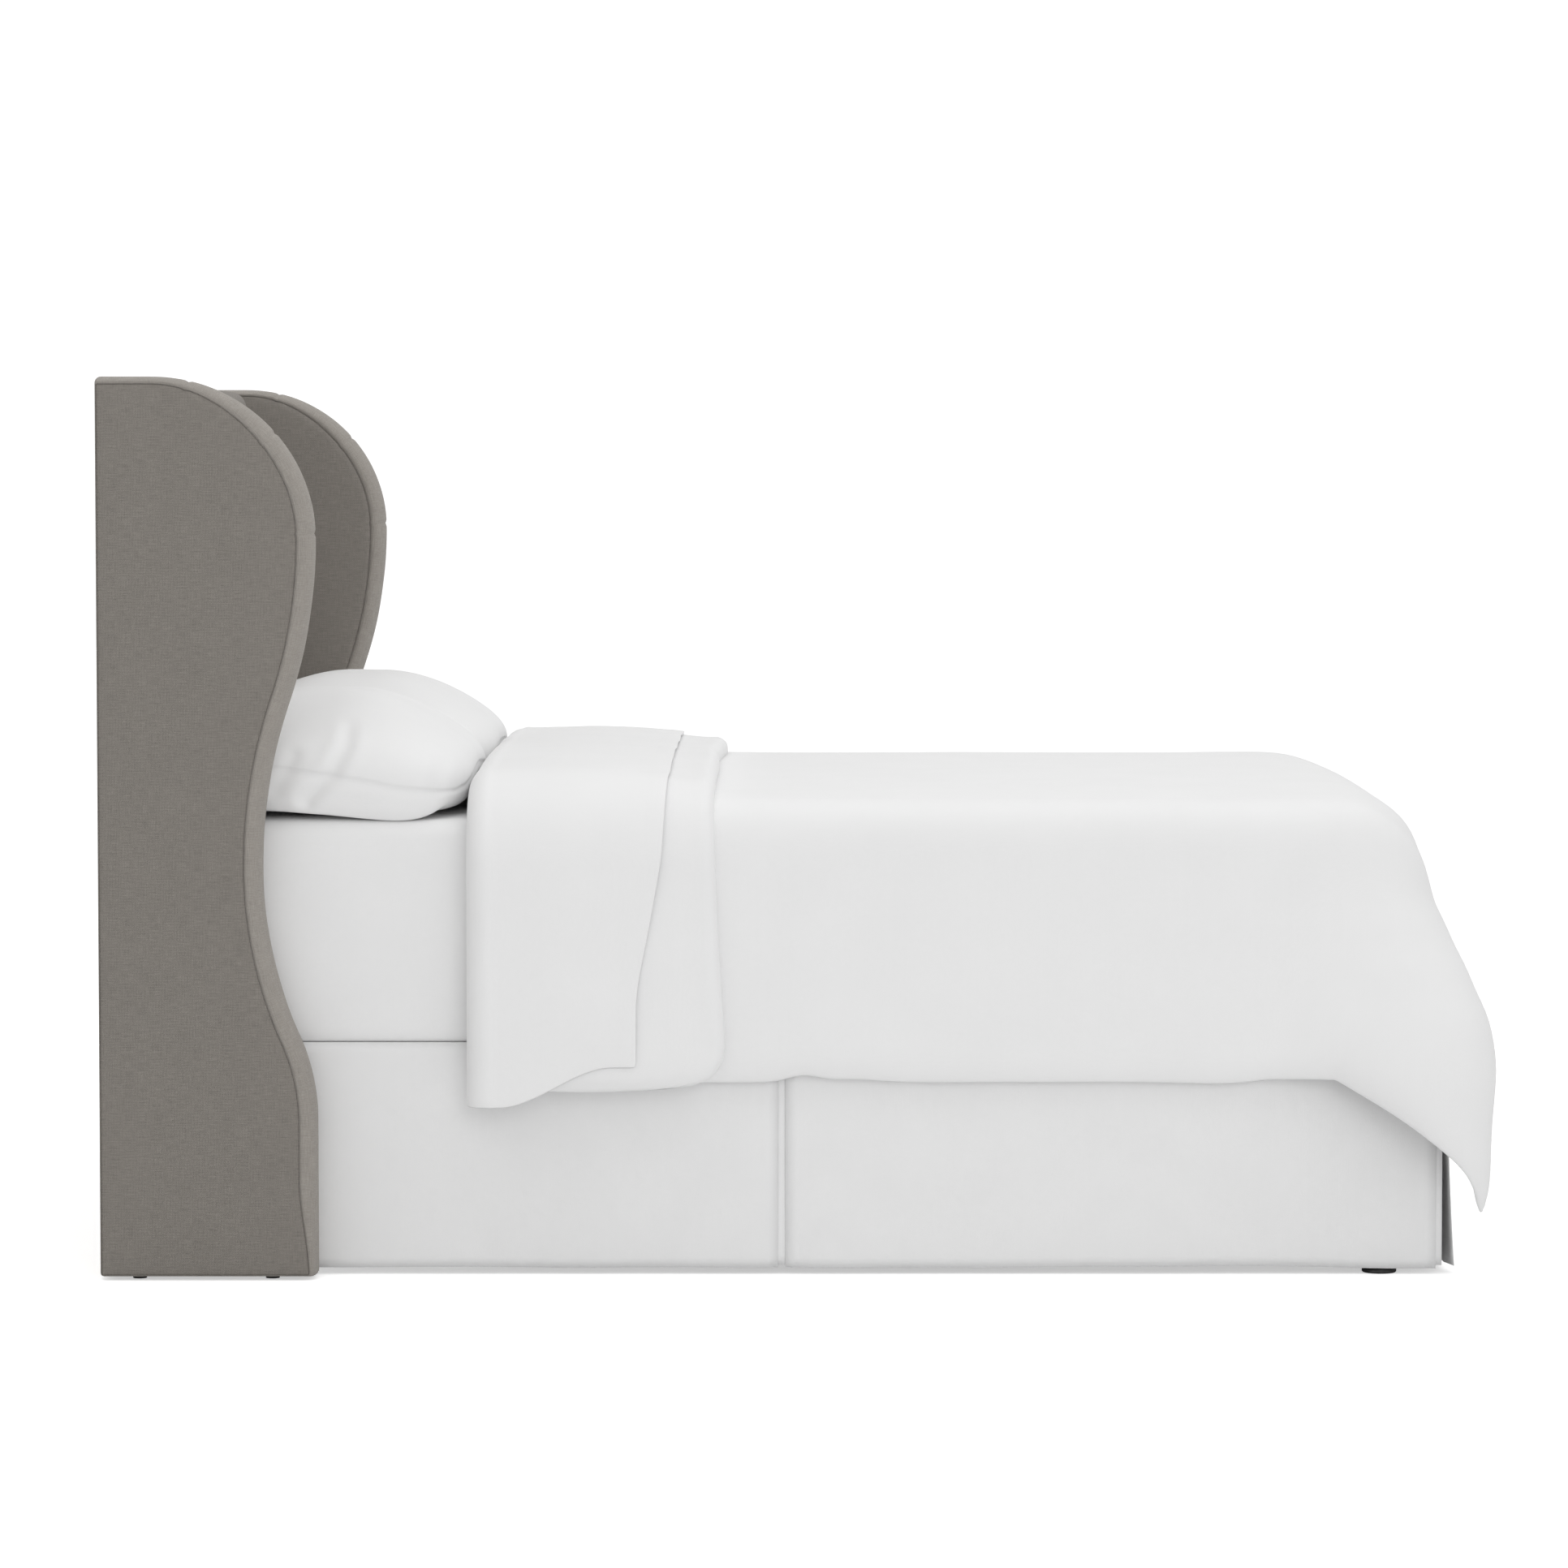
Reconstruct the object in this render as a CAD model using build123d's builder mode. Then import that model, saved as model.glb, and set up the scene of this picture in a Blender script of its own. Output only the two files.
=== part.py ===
from build123d import *
import os

# Upholstered wingback bed, queen size, millimetres.
# +Z is up, the headboard is at +Y and the foot at -Y, and X = 0 is the plane of symmetry.
# The origin is on the floor, under the middle of the bed's overall box.
# Distances called "depth" run from the headboard's back towards the foot.

# Overall sizes; the mattress is a queen
mattress_width = 1524.0
mattress_length = 1975.0
mattress_thick = 364.5
headboard_height = 1422.0
panel_depth = 93.0
support_height = 178.0
foundation_thick = 190.0

# Headboard
cover_thick = 1.5
dust_cover_thick = 1.0
panel_drop = 5.0
panel_bottom = 300.0
panel_round = 30.0
panel_top_foam = 15.0
frame_timber_depth = 45.0
stile_width = 64.0
stile_bottom = 40.0
rail_height = 90.0
middle_rail_height = 760.0
ply_thick = 9.0

# Wings
wing_thick = 72.0
wing_depth = 343.0
waist_depth = 258.0
wing_lift = 5.0
wing_corner = 8.0
wing_foam = 6.0
wing_front_foam = 14.0
wing_shoulder = 255.0
wing_waist_height = 652.0
wing_base_height = 250.0
wing_upper_turn = 0.5
wing_lower_turn = 0.665
wing_block_height = 70.0
wing_block_heights = (60.0, 340.0, 652.0, 980.0, 1290.0)
wing_bolt_heights = (450.0, 900.0, 1230.0)
wing_glide_depths = (60.0, 270.0)
wing_glide_radius = 11.0
wing_nail_radius = 1.5
wing_nail_length = 30.0

# Fasteners
bolt_radius = 4.0
bolt_clear = 0.5
bolt_head_radius = 7.5
bolt_head_thick = 5.0
tee_flange_radius = 11.0
tee_flange_thick = 2.0
tee_barrel_radius = 5.5
insert_radius = 6.0
insert_length = 25.0
bracket_bolt_grip = 40.0
bracket_bolt_heights = (125.0, 190.0)
rail_bolt_radius = 3.0
rail_bolt_head_radius = 6.0
rail_bolt_head_thick = 1.0
rail_nut_thick = 5.0

# Steel frame
angle_leg = 38.0
steel = 3.0
bracket_thick = 4.0
bracket_bottom = 95.0
leg_size = 32.0
leg_wall = 2.0
leg_plug = 20.0
head_leg_depth = 280.0
foot_leg_inset = 93.0
leg_inset = 16.0
cross_rail_offset = 40.0
middle_cross_depth = 1200.0
glide_radius = 27.5
glide_thick = 7.0
glide_stem_radius = 5.0
glide_stem_length = 30.0
centre_leg_radius = 16.0
level_foot_radius = 25.0
level_foot_thick = 10.0
rim_chamfer = 1.5
level_stem_radius = 5.0
level_stem_length = 45.0
level_stem_clear = 0.08
level_stop_gap = 0.3

# Foundation
foundation_gap = 6.0
foundation_margin = 50.0
foundation_cover_thick = 1.0
board_thick = 19.0
slat_thick = 15.0
slat_width = 70.0
slat_count = 12
pad_thick = 8.0
beam_width = 38.0
frame_gap = 1.0
head_gap = 2.0

# Mattress
edge_foam = 60.0
comfort_foam = 60.0
ticking_thick = 2.0
sheet_thick = 1.5
mattress_round = 50.0

# Bed skirt
skirt_thick = 1.5
skirt_underlay_thick = 1.5
skirt_underlay_lift = 1.5
skirt_hem = 8.0
deck_thick = 1.5
pleat_depth = 1075.0
pleat_gap = 12.0
corner_gap = 12.0
underlay_width = 150.0

# Duvet and pillows
duvet_start = 580.0
duvet_thick = 31.0
duvet_side = 38.0
duvet_foot = 133.0
duvet_slope = 139.0
duvet_bulge_height = 365.0
duvet_hem = 295.0
duvet_top_round = 120.0
turn_down_end = 974.0
turn_down_thick = 55.0
turn_down_side = 20.0
turn_down_hem = 262.0
top_sheet_thick = 3.0
top_sheet_end = 860.0
pillow_depth = 470.0
pillow_thick = 182.0
pillow_gap = 6.0
pillow_side_gap = 18.0
pillow_round = 60.0
rest_gap = 0.3
side_gap = 4.0

# Worked out from the sizes above
wing_inner = mattress_width / 2 + side_gap
mattress_start = panel_depth + head_gap
mattress_end = mattress_start + mattress_length + 2 * sheet_thick
overall_length = mattress_end + duvet_foot
head_back_y = overall_length / 2
foundation_top = support_height + foundation_thick
deck_top = foundation_top + deck_thick
mattress_top = deck_top + mattress_thick
sheet_top = mattress_top + sheet_thick
sheet_half = mattress_width / 2 + sheet_thick
foundation_half = mattress_width / 2 - foundation_gap
foundation_end = mattress_start + mattress_length + foundation_margin
foot_leg_depth = foundation_end - foot_leg_inset
panel_top = headboard_height - panel_drop
timber_front = dust_cover_thick + frame_timber_depth
ply_front = timber_front + ply_thick
timber_top = panel_top - cover_thick - panel_top_foam
timber_bottom = panel_bottom + cover_thick
stile_inner = wing_inner - stile_width
bolt_depth = dust_cover_thick + frame_timber_depth / 2
wing_board_inset = cover_thick + wing_foam
deck_half = mattress_width / 2
deck_end = foundation_end + foundation_gap
rail_outer = foundation_half + frame_gap + steel
rail_inner = rail_outer - angle_leg
rail_bottom = support_height - steel
rail_start = timber_front + bracket_thick
rail_end = foundation_end - leg_inset
leg_x = rail_inner + leg_inset


def y_at(depth):
    """The Y of a place that lies this far from the headboard's back."""
    return head_back_y - depth


def save(piece, name):
    """Label a finished piece and write it out as its own node."""
    piece.part.label = name
    export_step(piece.part, f"parts/{name}.step")


def side_face(depths, heights):
    """Draw a rectangle of a side view, from two depths and two heights."""
    middle = (y_at(sum(depths) / 2), sum(heights) / 2)
    with Locations(middle):
        Rectangle(abs(depths[1] - depths[0]), abs(heights[1] - heights[0]))


def slab(xs, depths, heights, mode=Mode.ADD):
    """Add or cut a plain box between two Xs, two depths and two heights."""
    low = (min(xs), y_at(max(depths)), min(heights))
    with Locations(low):
        Box(
            abs(xs[1] - xs[0]),
            abs(depths[1] - depths[0]),
            abs(heights[1] - heights[0]),
            align=(Align.MIN, Align.MIN, Align.MIN),
            mode=mode,
        )


def cross_pin(radius, xs, depth, height, mode=Mode.ADD):
    """Add or cut a round bar along X."""
    start = Plane.YZ.offset(min(xs))
    with BuildSketch(start) as section:
        with Locations((y_at(depth), height)):
            Circle(radius)
    extrude(section.sketch, amount=abs(xs[1] - xs[0]), mode=mode)


def upright(radius, x, depth, heights, mode=Mode.ADD):
    """Add or cut a round bar along Z."""
    with Locations((x, y_at(depth), min(heights))):
        Cylinder(
            radius,
            abs(heights[1] - heights[0]),
            align=(Align.CENTER, Align.CENTER, Align.MIN),
            mode=mode,
        )


def long_pin(radius, x, depths, height, mode=Mode.ADD):
    """Add or cut a round bar along Y."""
    start = Plane.XZ.offset(-y_at(min(depths)))
    with BuildSketch(start) as section:
        with Locations((x, height)):
            Circle(radius)
    extrude(section.sketch, amount=abs(depths[1] - depths[0]), mode=mode)


def s_bend(start, end, share):
    """Two tangent arcs between points that are both vertical, turning over at a share of the way."""
    turn = (start[0] + share * (end[0] - start[0]), start[1] + share * (end[1] - start[1]))
    first = TangentArc(start, turn, tangent=(0, -1))
    TangentArc(turn, end, tangent=first % 1)


def soft_block(half, depths, heights, radius):
    """A block across the bed with its upright corners and top edges rounded."""
    with BuildPart(mode=Mode.PRIVATE) as block:
        slab((-half, half), depths, heights)
        fillet(block.edges().filter_by(Axis.Z), radius=radius)
        fillet(block.faces().sort_by(Axis.Z)[-1].edges(), radius=radius)
    return block.part


def wing_face(inset):
    """The wing's side outline, moved inwards by inset, with Y across and Z up."""
    back = y_at(0)
    front = y_at(wing_depth)
    waist = (y_at(waist_depth), wing_waist_height)
    bulge_height = headboard_height - wing_shoulder
    with BuildSketch(Plane.XY, mode=Mode.PRIVATE) as face:
        with BuildLine():
            Line((front, wing_lift), (back, wing_lift))
            Line((back, wing_lift), (back, headboard_height))
            Line((back, headboard_height), (front + wing_shoulder, headboard_height))
            TangentArc((front + wing_shoulder, headboard_height), (front, bulge_height), tangent=(-1, 0))
            s_bend((front, bulge_height), waist, wing_upper_turn)
            s_bend(waist, (front, wing_base_height), wing_lower_turn)
            Line((front, wing_base_height), (front, wing_lift))
        make_face()
        back_corners = face.vertices().group_by(Axis.X)[-1]
        front_corner = face.vertices().group_by(Axis.Y)[0].sort_by(Axis.X)[0]
        fillet(back_corners + [front_corner], radius=wing_corner)
        if inset > 0:
            offset(amount=-inset, kind=Kind.INTERSECTION)
    return face.sketch_local


os.makedirs("parts", exist_ok=True)

wing_skin = wing_face(0)
wing_pad = wing_face(cover_thick)
with BuildSketch() as board_outline:
    add(wing_face(wing_board_inset))
    add(wing_face(wing_board_inset).moved(Location((wing_front_foam, 0, 0))), mode=Mode.INTERSECT)
wing_board = board_outline.sketch_local

# Headboard centre panel: timber frame, plywood face, foam, cover and dust cover

for side, sign in (("left", -1), ("right", 1)):
    with BuildPart() as stile:
        slab((sign * stile_inner, sign * wing_inner), (dust_cover_thick, timber_front),
             (stile_bottom, timber_top))
        for height in wing_bolt_heights:
            cross_pin(bolt_radius + bolt_clear, (sign * stile_inner, sign * wing_inner),
                      bolt_depth, height, Mode.SUBTRACT)
        for height in bracket_bolt_heights:
            long_pin(insert_radius, sign * (rail_outer - angle_leg / 2),
                     (timber_front - bracket_bolt_grip, timber_front), height, Mode.SUBTRACT)
    save(stile, f"{side}_stile")

rail_bases = (
    ("top_rail", timber_top - rail_height),
    ("middle_rail", middle_rail_height),
    ("bottom_rail", timber_bottom),
)
for name, base in rail_bases:
    with BuildPart() as rail:
        slab((-stile_inner, stile_inner), (dust_cover_thick, timber_front),
             (base, base + rail_height))
    save(rail, name)

with BuildPart() as panel_plywood:
    slab((-wing_inner, wing_inner), (timber_front, ply_front), (timber_bottom, timber_top))
save(panel_plywood, "panel_plywood")

with BuildPart() as panel_foam:
    with BuildSketch(Plane.YZ.offset(-wing_inner)) as section:
        side_face((dust_cover_thick, panel_depth - cover_thick),
                  (timber_bottom, panel_top - cover_thick))
        top_front = section.vertices().group_by(Axis.Y)[-1].sort_by(Axis.X)[0]
        fillet(top_front, radius=panel_round - cover_thick)
        with Locations((y_at((dust_cover_thick + ply_front) / 2), (timber_bottom + timber_top) / 2)):
            Rectangle(ply_front - dust_cover_thick, timber_top - timber_bottom, mode=Mode.SUBTRACT)
    extrude(amount=2 * wing_inner)
save(panel_foam, "panel_foam")

with BuildPart() as panel_cover:
    with BuildSketch(Plane.YZ.offset(-wing_inner)) as section:
        side_face((dust_cover_thick, panel_depth), (panel_bottom, panel_top))
        top_front = section.vertices().group_by(Axis.Y)[-1].sort_by(Axis.X)[0]
        fillet(top_front, radius=panel_round)
    extrude(amount=2 * wing_inner)
    with BuildSketch(Plane.YZ.offset(-wing_inner)) as section:
        side_face((dust_cover_thick, panel_depth - cover_thick),
                  (timber_bottom, panel_top - cover_thick))
        top_front = section.vertices().group_by(Axis.Y)[-1].sort_by(Axis.X)[0]
        fillet(top_front, radius=panel_round - cover_thick)
    extrude(amount=2 * wing_inner, mode=Mode.SUBTRACT)
    for sign in (-1, 1):
        slab((sign * stile_inner, sign * wing_inner), (dust_cover_thick, timber_front),
             (panel_bottom, timber_bottom), Mode.SUBTRACT)
save(panel_cover, "panel_cover")

with BuildPart() as panel_dust_cover:
    slab((-wing_inner, wing_inner), (0, dust_cover_thick), (panel_bottom, panel_top))
save(panel_dust_cover, "panel_dust_cover")

# Wings: two plywood faces on spacer blocks, foam all round, and a sewn cover

pad_span = wing_thick - 2 * cover_thick
board_span = wing_thick - 2 * wing_board_inset
block_span = board_span - 2 * ply_thick
tee_end = wing_inner + wing_board_inset + ply_thick
wing_middle = wing_inner + wing_thick / 2

for side, sign in (("left", -1), ("right", 1)):
    inner = sign * wing_inner
    pad_inner = sign * (wing_inner + cover_thick)
    board_inner = sign * (wing_inner + wing_board_inset)
    block_inner = sign * tee_end

    with BuildPart() as inner_ply:
        with BuildSketch(Plane.YZ.offset(board_inner)):
            add(wing_board)
        extrude(amount=sign * ply_thick)
        for height in wing_bolt_heights:
            cross_pin(tee_barrel_radius, (board_inner, block_inner), bolt_depth, height, Mode.SUBTRACT)
    save(inner_ply, f"{side}_wing_inner_ply")

    with BuildPart() as outer_ply:
        with BuildSketch(Plane.YZ.offset(block_inner + sign * block_span)):
            add(wing_board)
        extrude(amount=sign * ply_thick)
    save(outer_ply, f"{side}_wing_outer_ply")

    with BuildPart() as foam:
        with BuildSketch(Plane.YZ.offset(pad_inner)):
            add(wing_pad)
        extrude(amount=sign * pad_span)
        with BuildSketch(Plane.YZ.offset(board_inner)):
            add(wing_board)
        extrude(amount=sign * board_span, mode=Mode.SUBTRACT)
        for height in wing_bolt_heights:
            cross_pin(bolt_radius + bolt_clear, (inner, board_inner), bolt_depth, height, Mode.SUBTRACT)
        for depth in wing_glide_depths:
            upright(wing_nail_radius, sign * wing_middle, depth, (0, wing_nail_length), Mode.SUBTRACT)
    save(foam, f"{side}_wing_foam")

    with BuildPart() as cover_panels:
        with BuildSketch(Plane.YZ.offset(inner)):
            add(wing_skin)
        extrude(amount=sign * cover_thick)
        with BuildSketch(Plane.YZ.offset(inner + sign * (wing_thick - cover_thick))):
            add(wing_skin)
        extrude(amount=sign * cover_thick)
        for height in wing_bolt_heights:
            cross_pin(bolt_radius + bolt_clear, (inner, pad_inner), bolt_depth, height, Mode.SUBTRACT)
    save(cover_panels, f"{side}_wing_cover_panels")

    with BuildPart() as boxing_strip:
        with BuildSketch(Plane.YZ.offset(pad_inner)):
            add(wing_skin)
            add(wing_pad, mode=Mode.SUBTRACT)
        extrude(amount=sign * pad_span)
        for depth in wing_glide_depths:
            upright(wing_nail_radius, sign * wing_middle, depth, (0, wing_nail_length), Mode.SUBTRACT)
    save(boxing_strip, f"{side}_wing_boxing_strip")

with BuildPart() as wing_blocks:
    for sign in (-1, 1):
        with BuildSketch(Plane.YZ.offset(sign * tee_end)) as section:
            for height in wing_block_heights:
                side_face((0, wing_depth), (height - wing_block_height / 2, height + wing_block_height / 2))
            add(wing_board, mode=Mode.INTERSECT)
        extrude(section.sketch, amount=sign * block_span)
        for depth in wing_glide_depths:
            upright(wing_nail_radius, sign * wing_middle, depth, (0, wing_nail_length), Mode.SUBTRACT)
save(wing_blocks, "wing_blocks")

with BuildPart() as wing_glides:
    for x in (-wing_middle, wing_middle):
        for depth in wing_glide_depths:
            upright(wing_glide_radius, x, depth, (0, wing_lift))
            upright(wing_nail_radius, x, depth, (0, wing_nail_length))
save(wing_glides, "wing_glides")

with BuildPart() as wing_bolts:
    for sign in (-1, 1):
        for height in wing_bolt_heights:
            cross_pin(bolt_head_radius, (sign * (stile_inner - bolt_head_thick), sign * stile_inner),
                      bolt_depth, height)
            cross_pin(bolt_radius, (sign * stile_inner, sign * tee_end), bolt_depth, height)
save(wing_bolts, "wing_bolts")

with BuildPart() as wing_tee_nuts:
    for sign in (-1, 1):
        barrel = (sign * (wing_inner + wing_board_inset), sign * tee_end)
        flange = (sign * tee_end, sign * (tee_end + tee_flange_thick))
        for height in wing_bolt_heights:
            cross_pin(tee_barrel_radius, barrel, bolt_depth, height)
            cross_pin(tee_flange_radius, flange, bolt_depth, height)
            cross_pin(bolt_radius, barrel, bolt_depth, height, Mode.SUBTRACT)
save(wing_tee_nuts, "wing_tee_nuts")

# Steel frame: angle side rails on legs, cross rails under them and a centre rail

cross_depths = (head_leg_depth + cross_rail_offset, middle_cross_depth,
                foot_leg_depth - cross_rail_offset - angle_leg)
bolt_x = rail_inner + angle_leg / 2
rail_bolt_offset = angle_leg / 2

for side, sign in (("left", -1), ("right", 1)):
    with BuildPart() as side_rail:
        slab((sign * rail_inner, sign * rail_outer), (rail_start, rail_end), (rail_bottom, support_height))
        slab((sign * (rail_outer - steel), sign * rail_outer), (rail_start, rail_end),
             (rail_bottom, rail_bottom + angle_leg))
        for depth in cross_depths:
            upright(rail_bolt_radius, sign * bolt_x, depth + rail_bolt_offset,
                    (rail_bottom, support_height), Mode.SUBTRACT)
    save(side_rail, f"{side}_side_rail")

    with BuildPart() as bracket:
        slab((sign * rail_inner, sign * rail_outer), (timber_front, rail_start),
             (bracket_bottom, rail_bottom + angle_leg))
        for height in bracket_bolt_heights:
            long_pin(bolt_radius + bolt_clear, sign * bolt_x, (timber_front, rail_start), height,
                     Mode.SUBTRACT)
    save(bracket, f"{side}_headboard_bracket")

for name, depth in zip(("head_cross_rail", "middle_cross_rail", "foot_cross_rail"), cross_depths):
    with BuildPart() as cross_rail:
        slab((-rail_outer + steel, rail_outer - steel), (depth, depth + angle_leg),
             (rail_bottom - steel, rail_bottom))
        slab((-rail_inner, rail_inner), (depth, depth + steel), (rail_bottom - angle_leg, rail_bottom))
        for x in (-bolt_x, bolt_x):
            upright(rail_bolt_radius, x, depth + rail_bolt_offset, (rail_bottom - steel, rail_bottom),
                    Mode.SUBTRACT)
    save(cross_rail, name)

with BuildPart() as centre_rail:
    slab((-angle_leg / 2, angle_leg / 2), (cross_depths[0], cross_depths[2] + angle_leg),
         (rail_bottom, support_height))
save(centre_rail, "centre_rail")

rail_bolt_top = support_height + rail_bolt_head_thick
rail_nut_bottom = rail_bottom - steel - rail_nut_thick
with BuildPart() as rail_bolts:
    for x in (-bolt_x, bolt_x):
        for depth in cross_depths:
            upright(rail_bolt_radius, x, depth + rail_bolt_offset, (rail_nut_bottom, support_height))
            upright(rail_bolt_head_radius, x, depth + rail_bolt_offset, (support_height, rail_bolt_top))
save(rail_bolts, "rail_bolts")

with BuildPart() as rail_nuts:
    for x in (-bolt_x, bolt_x):
        for depth in cross_depths:
            with BuildSketch(Plane.XY.offset(rail_nut_bottom)) as section:
                with Locations((x, y_at(depth + rail_bolt_offset))):
                    RegularPolygon(rail_bolt_head_radius, 6)
                    Circle(rail_bolt_radius, mode=Mode.SUBTRACT)
            extrude(section.sketch, amount=rail_nut_thick)
save(rail_nuts, "rail_nuts")

with BuildPart() as bracket_bolts:
    for x in (-bolt_x, bolt_x):
        for height in bracket_bolt_heights:
            long_pin(bolt_radius, x, (timber_front - insert_length, rail_start), height)
            long_pin(bolt_head_radius, x, (rail_start, rail_start + bolt_head_thick), height)
save(bracket_bolts, "bracket_bolts")

with BuildPart() as bracket_inserts:
    for x in (-bolt_x, bolt_x):
        for height in bracket_bolt_heights:
            long_pin(insert_radius, x, (timber_front - bracket_bolt_grip, timber_front), height)
            long_pin(bolt_radius, x, (timber_front - insert_length, timber_front), height, Mode.SUBTRACT)
save(bracket_inserts, "bracket_inserts")

with BuildPart() as corner_legs:
    for x in (-leg_x, leg_x):
        for depth in (head_leg_depth, foot_leg_depth):
            half = leg_size / 2
            bore = half - leg_wall
            slab((x - half, x + half), (depth - half, depth + half), (glide_thick, rail_bottom))
            slab((x - bore, x + bore), (depth - bore, depth + bore), (glide_thick + leg_plug, rail_bottom),
                 Mode.SUBTRACT)
            upright(glide_stem_radius, x, depth, (glide_thick, glide_thick + leg_plug), Mode.SUBTRACT)
save(corner_legs, "corner_legs")

with BuildPart() as corner_glides:
    for x in (-leg_x, leg_x):
        for depth in (head_leg_depth, foot_leg_depth):
            upright(glide_radius, x, depth, (0, glide_thick))
            upright(glide_stem_radius, x, depth, (0, glide_thick + glide_stem_length))
    glide_rims = corner_glides.edges().filter_by(GeomType.CIRCLE).filter_by(
        lambda edge: edge.radius == glide_radius)
    chamfer(glide_rims, length=rim_chamfer)
save(corner_glides, "corner_glides")

centre_leg_bottom = level_foot_thick + level_stop_gap
with BuildPart() as centre_legs:
    for depth in cross_depths:
        place = depth + steel + centre_leg_radius
        upright(centre_leg_radius, 0, place, (centre_leg_bottom, rail_bottom - steel))
        upright(centre_leg_radius - leg_wall, 0, place, (centre_leg_bottom + leg_plug, rail_bottom - steel),
                Mode.SUBTRACT)
        upright(level_stem_radius + level_stem_clear, 0, place,
                (centre_leg_bottom, centre_leg_bottom + leg_plug), Mode.SUBTRACT)
save(centre_legs, "centre_legs")

for name, depth in zip(("head", "middle", "foot"), cross_depths):
    place = depth + steel + centre_leg_radius
    with BuildPart() as levelling_foot:
        upright(level_foot_radius, 0, place, (0, level_foot_thick))
        upright(level_stem_radius, 0, place, (0, level_foot_thick + level_stem_length))
        foot_rims = levelling_foot.edges().filter_by(GeomType.CIRCLE).filter_by(
            lambda edge: edge.radius == level_foot_radius)
        chamfer(foot_rims, length=rim_chamfer)
    save(levelling_foot, f"{name}_levelling_foot")

# Foundation: boards on edge, a centre beam, slats, a pad and a cover

board_bottom = support_height + foundation_cover_thick
board_top = foundation_top - foundation_cover_thick - pad_thick - slat_thick
board_outer = foundation_half - foundation_cover_thick
foundation_start = mattress_start + foundation_cover_thick
foundation_stop = foundation_end - foundation_cover_thick

with BuildPart() as side_boards:
    for sign in (-1, 1):
        slab((sign * (board_outer - board_thick), sign * board_outer), (foundation_start, foundation_stop),
             (board_bottom, board_top))
save(side_boards, "foundation_side_boards")

with BuildPart() as end_boards:
    for start in (foundation_start, foundation_stop - board_thick):
        slab((board_thick - board_outer, board_outer - board_thick), (start, start + board_thick),
             (board_bottom, board_top))
save(end_boards, "foundation_end_boards")

with BuildPart() as centre_beam:
    slab((-beam_width / 2, beam_width / 2),
         (foundation_start + board_thick, foundation_stop - board_thick), (board_bottom, board_top))
save(centre_beam, "foundation_centre_beam")

slat_pitch = (foundation_stop - foundation_start - slat_width) / (slat_count - 1)
with BuildPart() as slats:
    for index in range(slat_count):
        start = foundation_start + index * slat_pitch
        slab((-board_outer, board_outer), (start, start + slat_width), (board_top, board_top + slat_thick))
save(slats, "foundation_slats")

pad_bottom = board_top + slat_thick
with BuildPart() as top_pad:
    slab((-board_outer, board_outer), (foundation_start, foundation_stop),
         (pad_bottom, pad_bottom + pad_thick))
save(top_pad, "foundation_top_pad")

with BuildPart() as foundation_cover:
    slab((-foundation_half, foundation_half), (mattress_start, foundation_end),
         (support_height, foundation_top))
    slab((-board_outer, board_outer), (foundation_start, foundation_stop),
         (board_bottom, pad_bottom + pad_thick), Mode.SUBTRACT)
    for x in (-bolt_x, bolt_x):
        for depth in cross_depths:
            upright(rail_bolt_head_radius + bolt_clear, x, depth + rail_bolt_offset,
                    (support_height, board_bottom), Mode.SUBTRACT)
save(foundation_cover, "foundation_cover")

# Bed skirt: a deck under the mattress with tailored panels hung from its edges

with BuildPart() as skirt_deck:
    slab((-deck_half, deck_half), (mattress_start, deck_end), (foundation_top, deck_top))
save(skirt_deck, "skirt_deck")

corner_start = deck_end - corner_gap
for side, sign in (("left", -1), ("right", 1)):
    skin = (sign * deck_half, sign * (deck_half + skirt_thick))
    lining = (sign * (deck_half - skirt_underlay_thick), sign * deck_half)
    with BuildPart() as side_skirt:
        slab(skin, (mattress_start, pleat_depth - pleat_gap / 2), (skirt_hem, deck_top))
        slab(skin, (pleat_depth + pleat_gap / 2, corner_start), (skirt_hem, deck_top))
        slab(lining, (pleat_depth - underlay_width / 2, pleat_depth + underlay_width / 2),
             (skirt_hem + skirt_underlay_lift, foundation_top))
    save(side_skirt, f"{side}_skirt")

foot_skin = (deck_end, deck_end + skirt_thick)
foot_lining = (deck_end - skirt_underlay_thick, deck_end)
with BuildPart() as foot_skirt:
    slab((corner_gap - deck_half, deck_half - corner_gap), foot_skin, (skirt_hem, deck_top))
    for sign in (-1, 1):
        slab((sign * (deck_half - underlay_width / 2), sign * deck_half), foot_lining,
             (skirt_hem + skirt_underlay_lift, foundation_top))
        slab((sign * (deck_half - skirt_underlay_thick), sign * deck_half),
             (deck_end - underlay_width / 2, deck_end), (skirt_hem + skirt_underlay_lift, foundation_top))
save(foot_skirt, "foot_skirt")

# Mattress: springs inside edge foam, comfort foam above, ticking and a fitted sheet

core_half = mattress_width / 2 - ticking_thick
core_start = mattress_start + sheet_thick + ticking_thick
core_end = mattress_end - sheet_thick - ticking_thick
core_bottom = deck_top + ticking_thick
core_top = mattress_top - ticking_thick
spring_top = core_top - comfort_foam
ticking_depths = (mattress_start + sheet_thick, mattress_end - sheet_thick)
core_shape = soft_block(core_half, (core_start, core_end), (core_bottom, core_top),
                        mattress_round - ticking_thick)
ticking_shape = soft_block(mattress_width / 2, ticking_depths, (deck_top, mattress_top), mattress_round)
sheet_shape = soft_block(sheet_half, (mattress_start, mattress_end), (deck_top, sheet_top),
                         mattress_round + sheet_thick)

with BuildPart() as comfort:
    slab((-core_half, core_half), (core_start, core_end), (spring_top, core_top))
    add(core_shape, mode=Mode.INTERSECT)
save(comfort, "mattress_comfort_foam")

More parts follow.
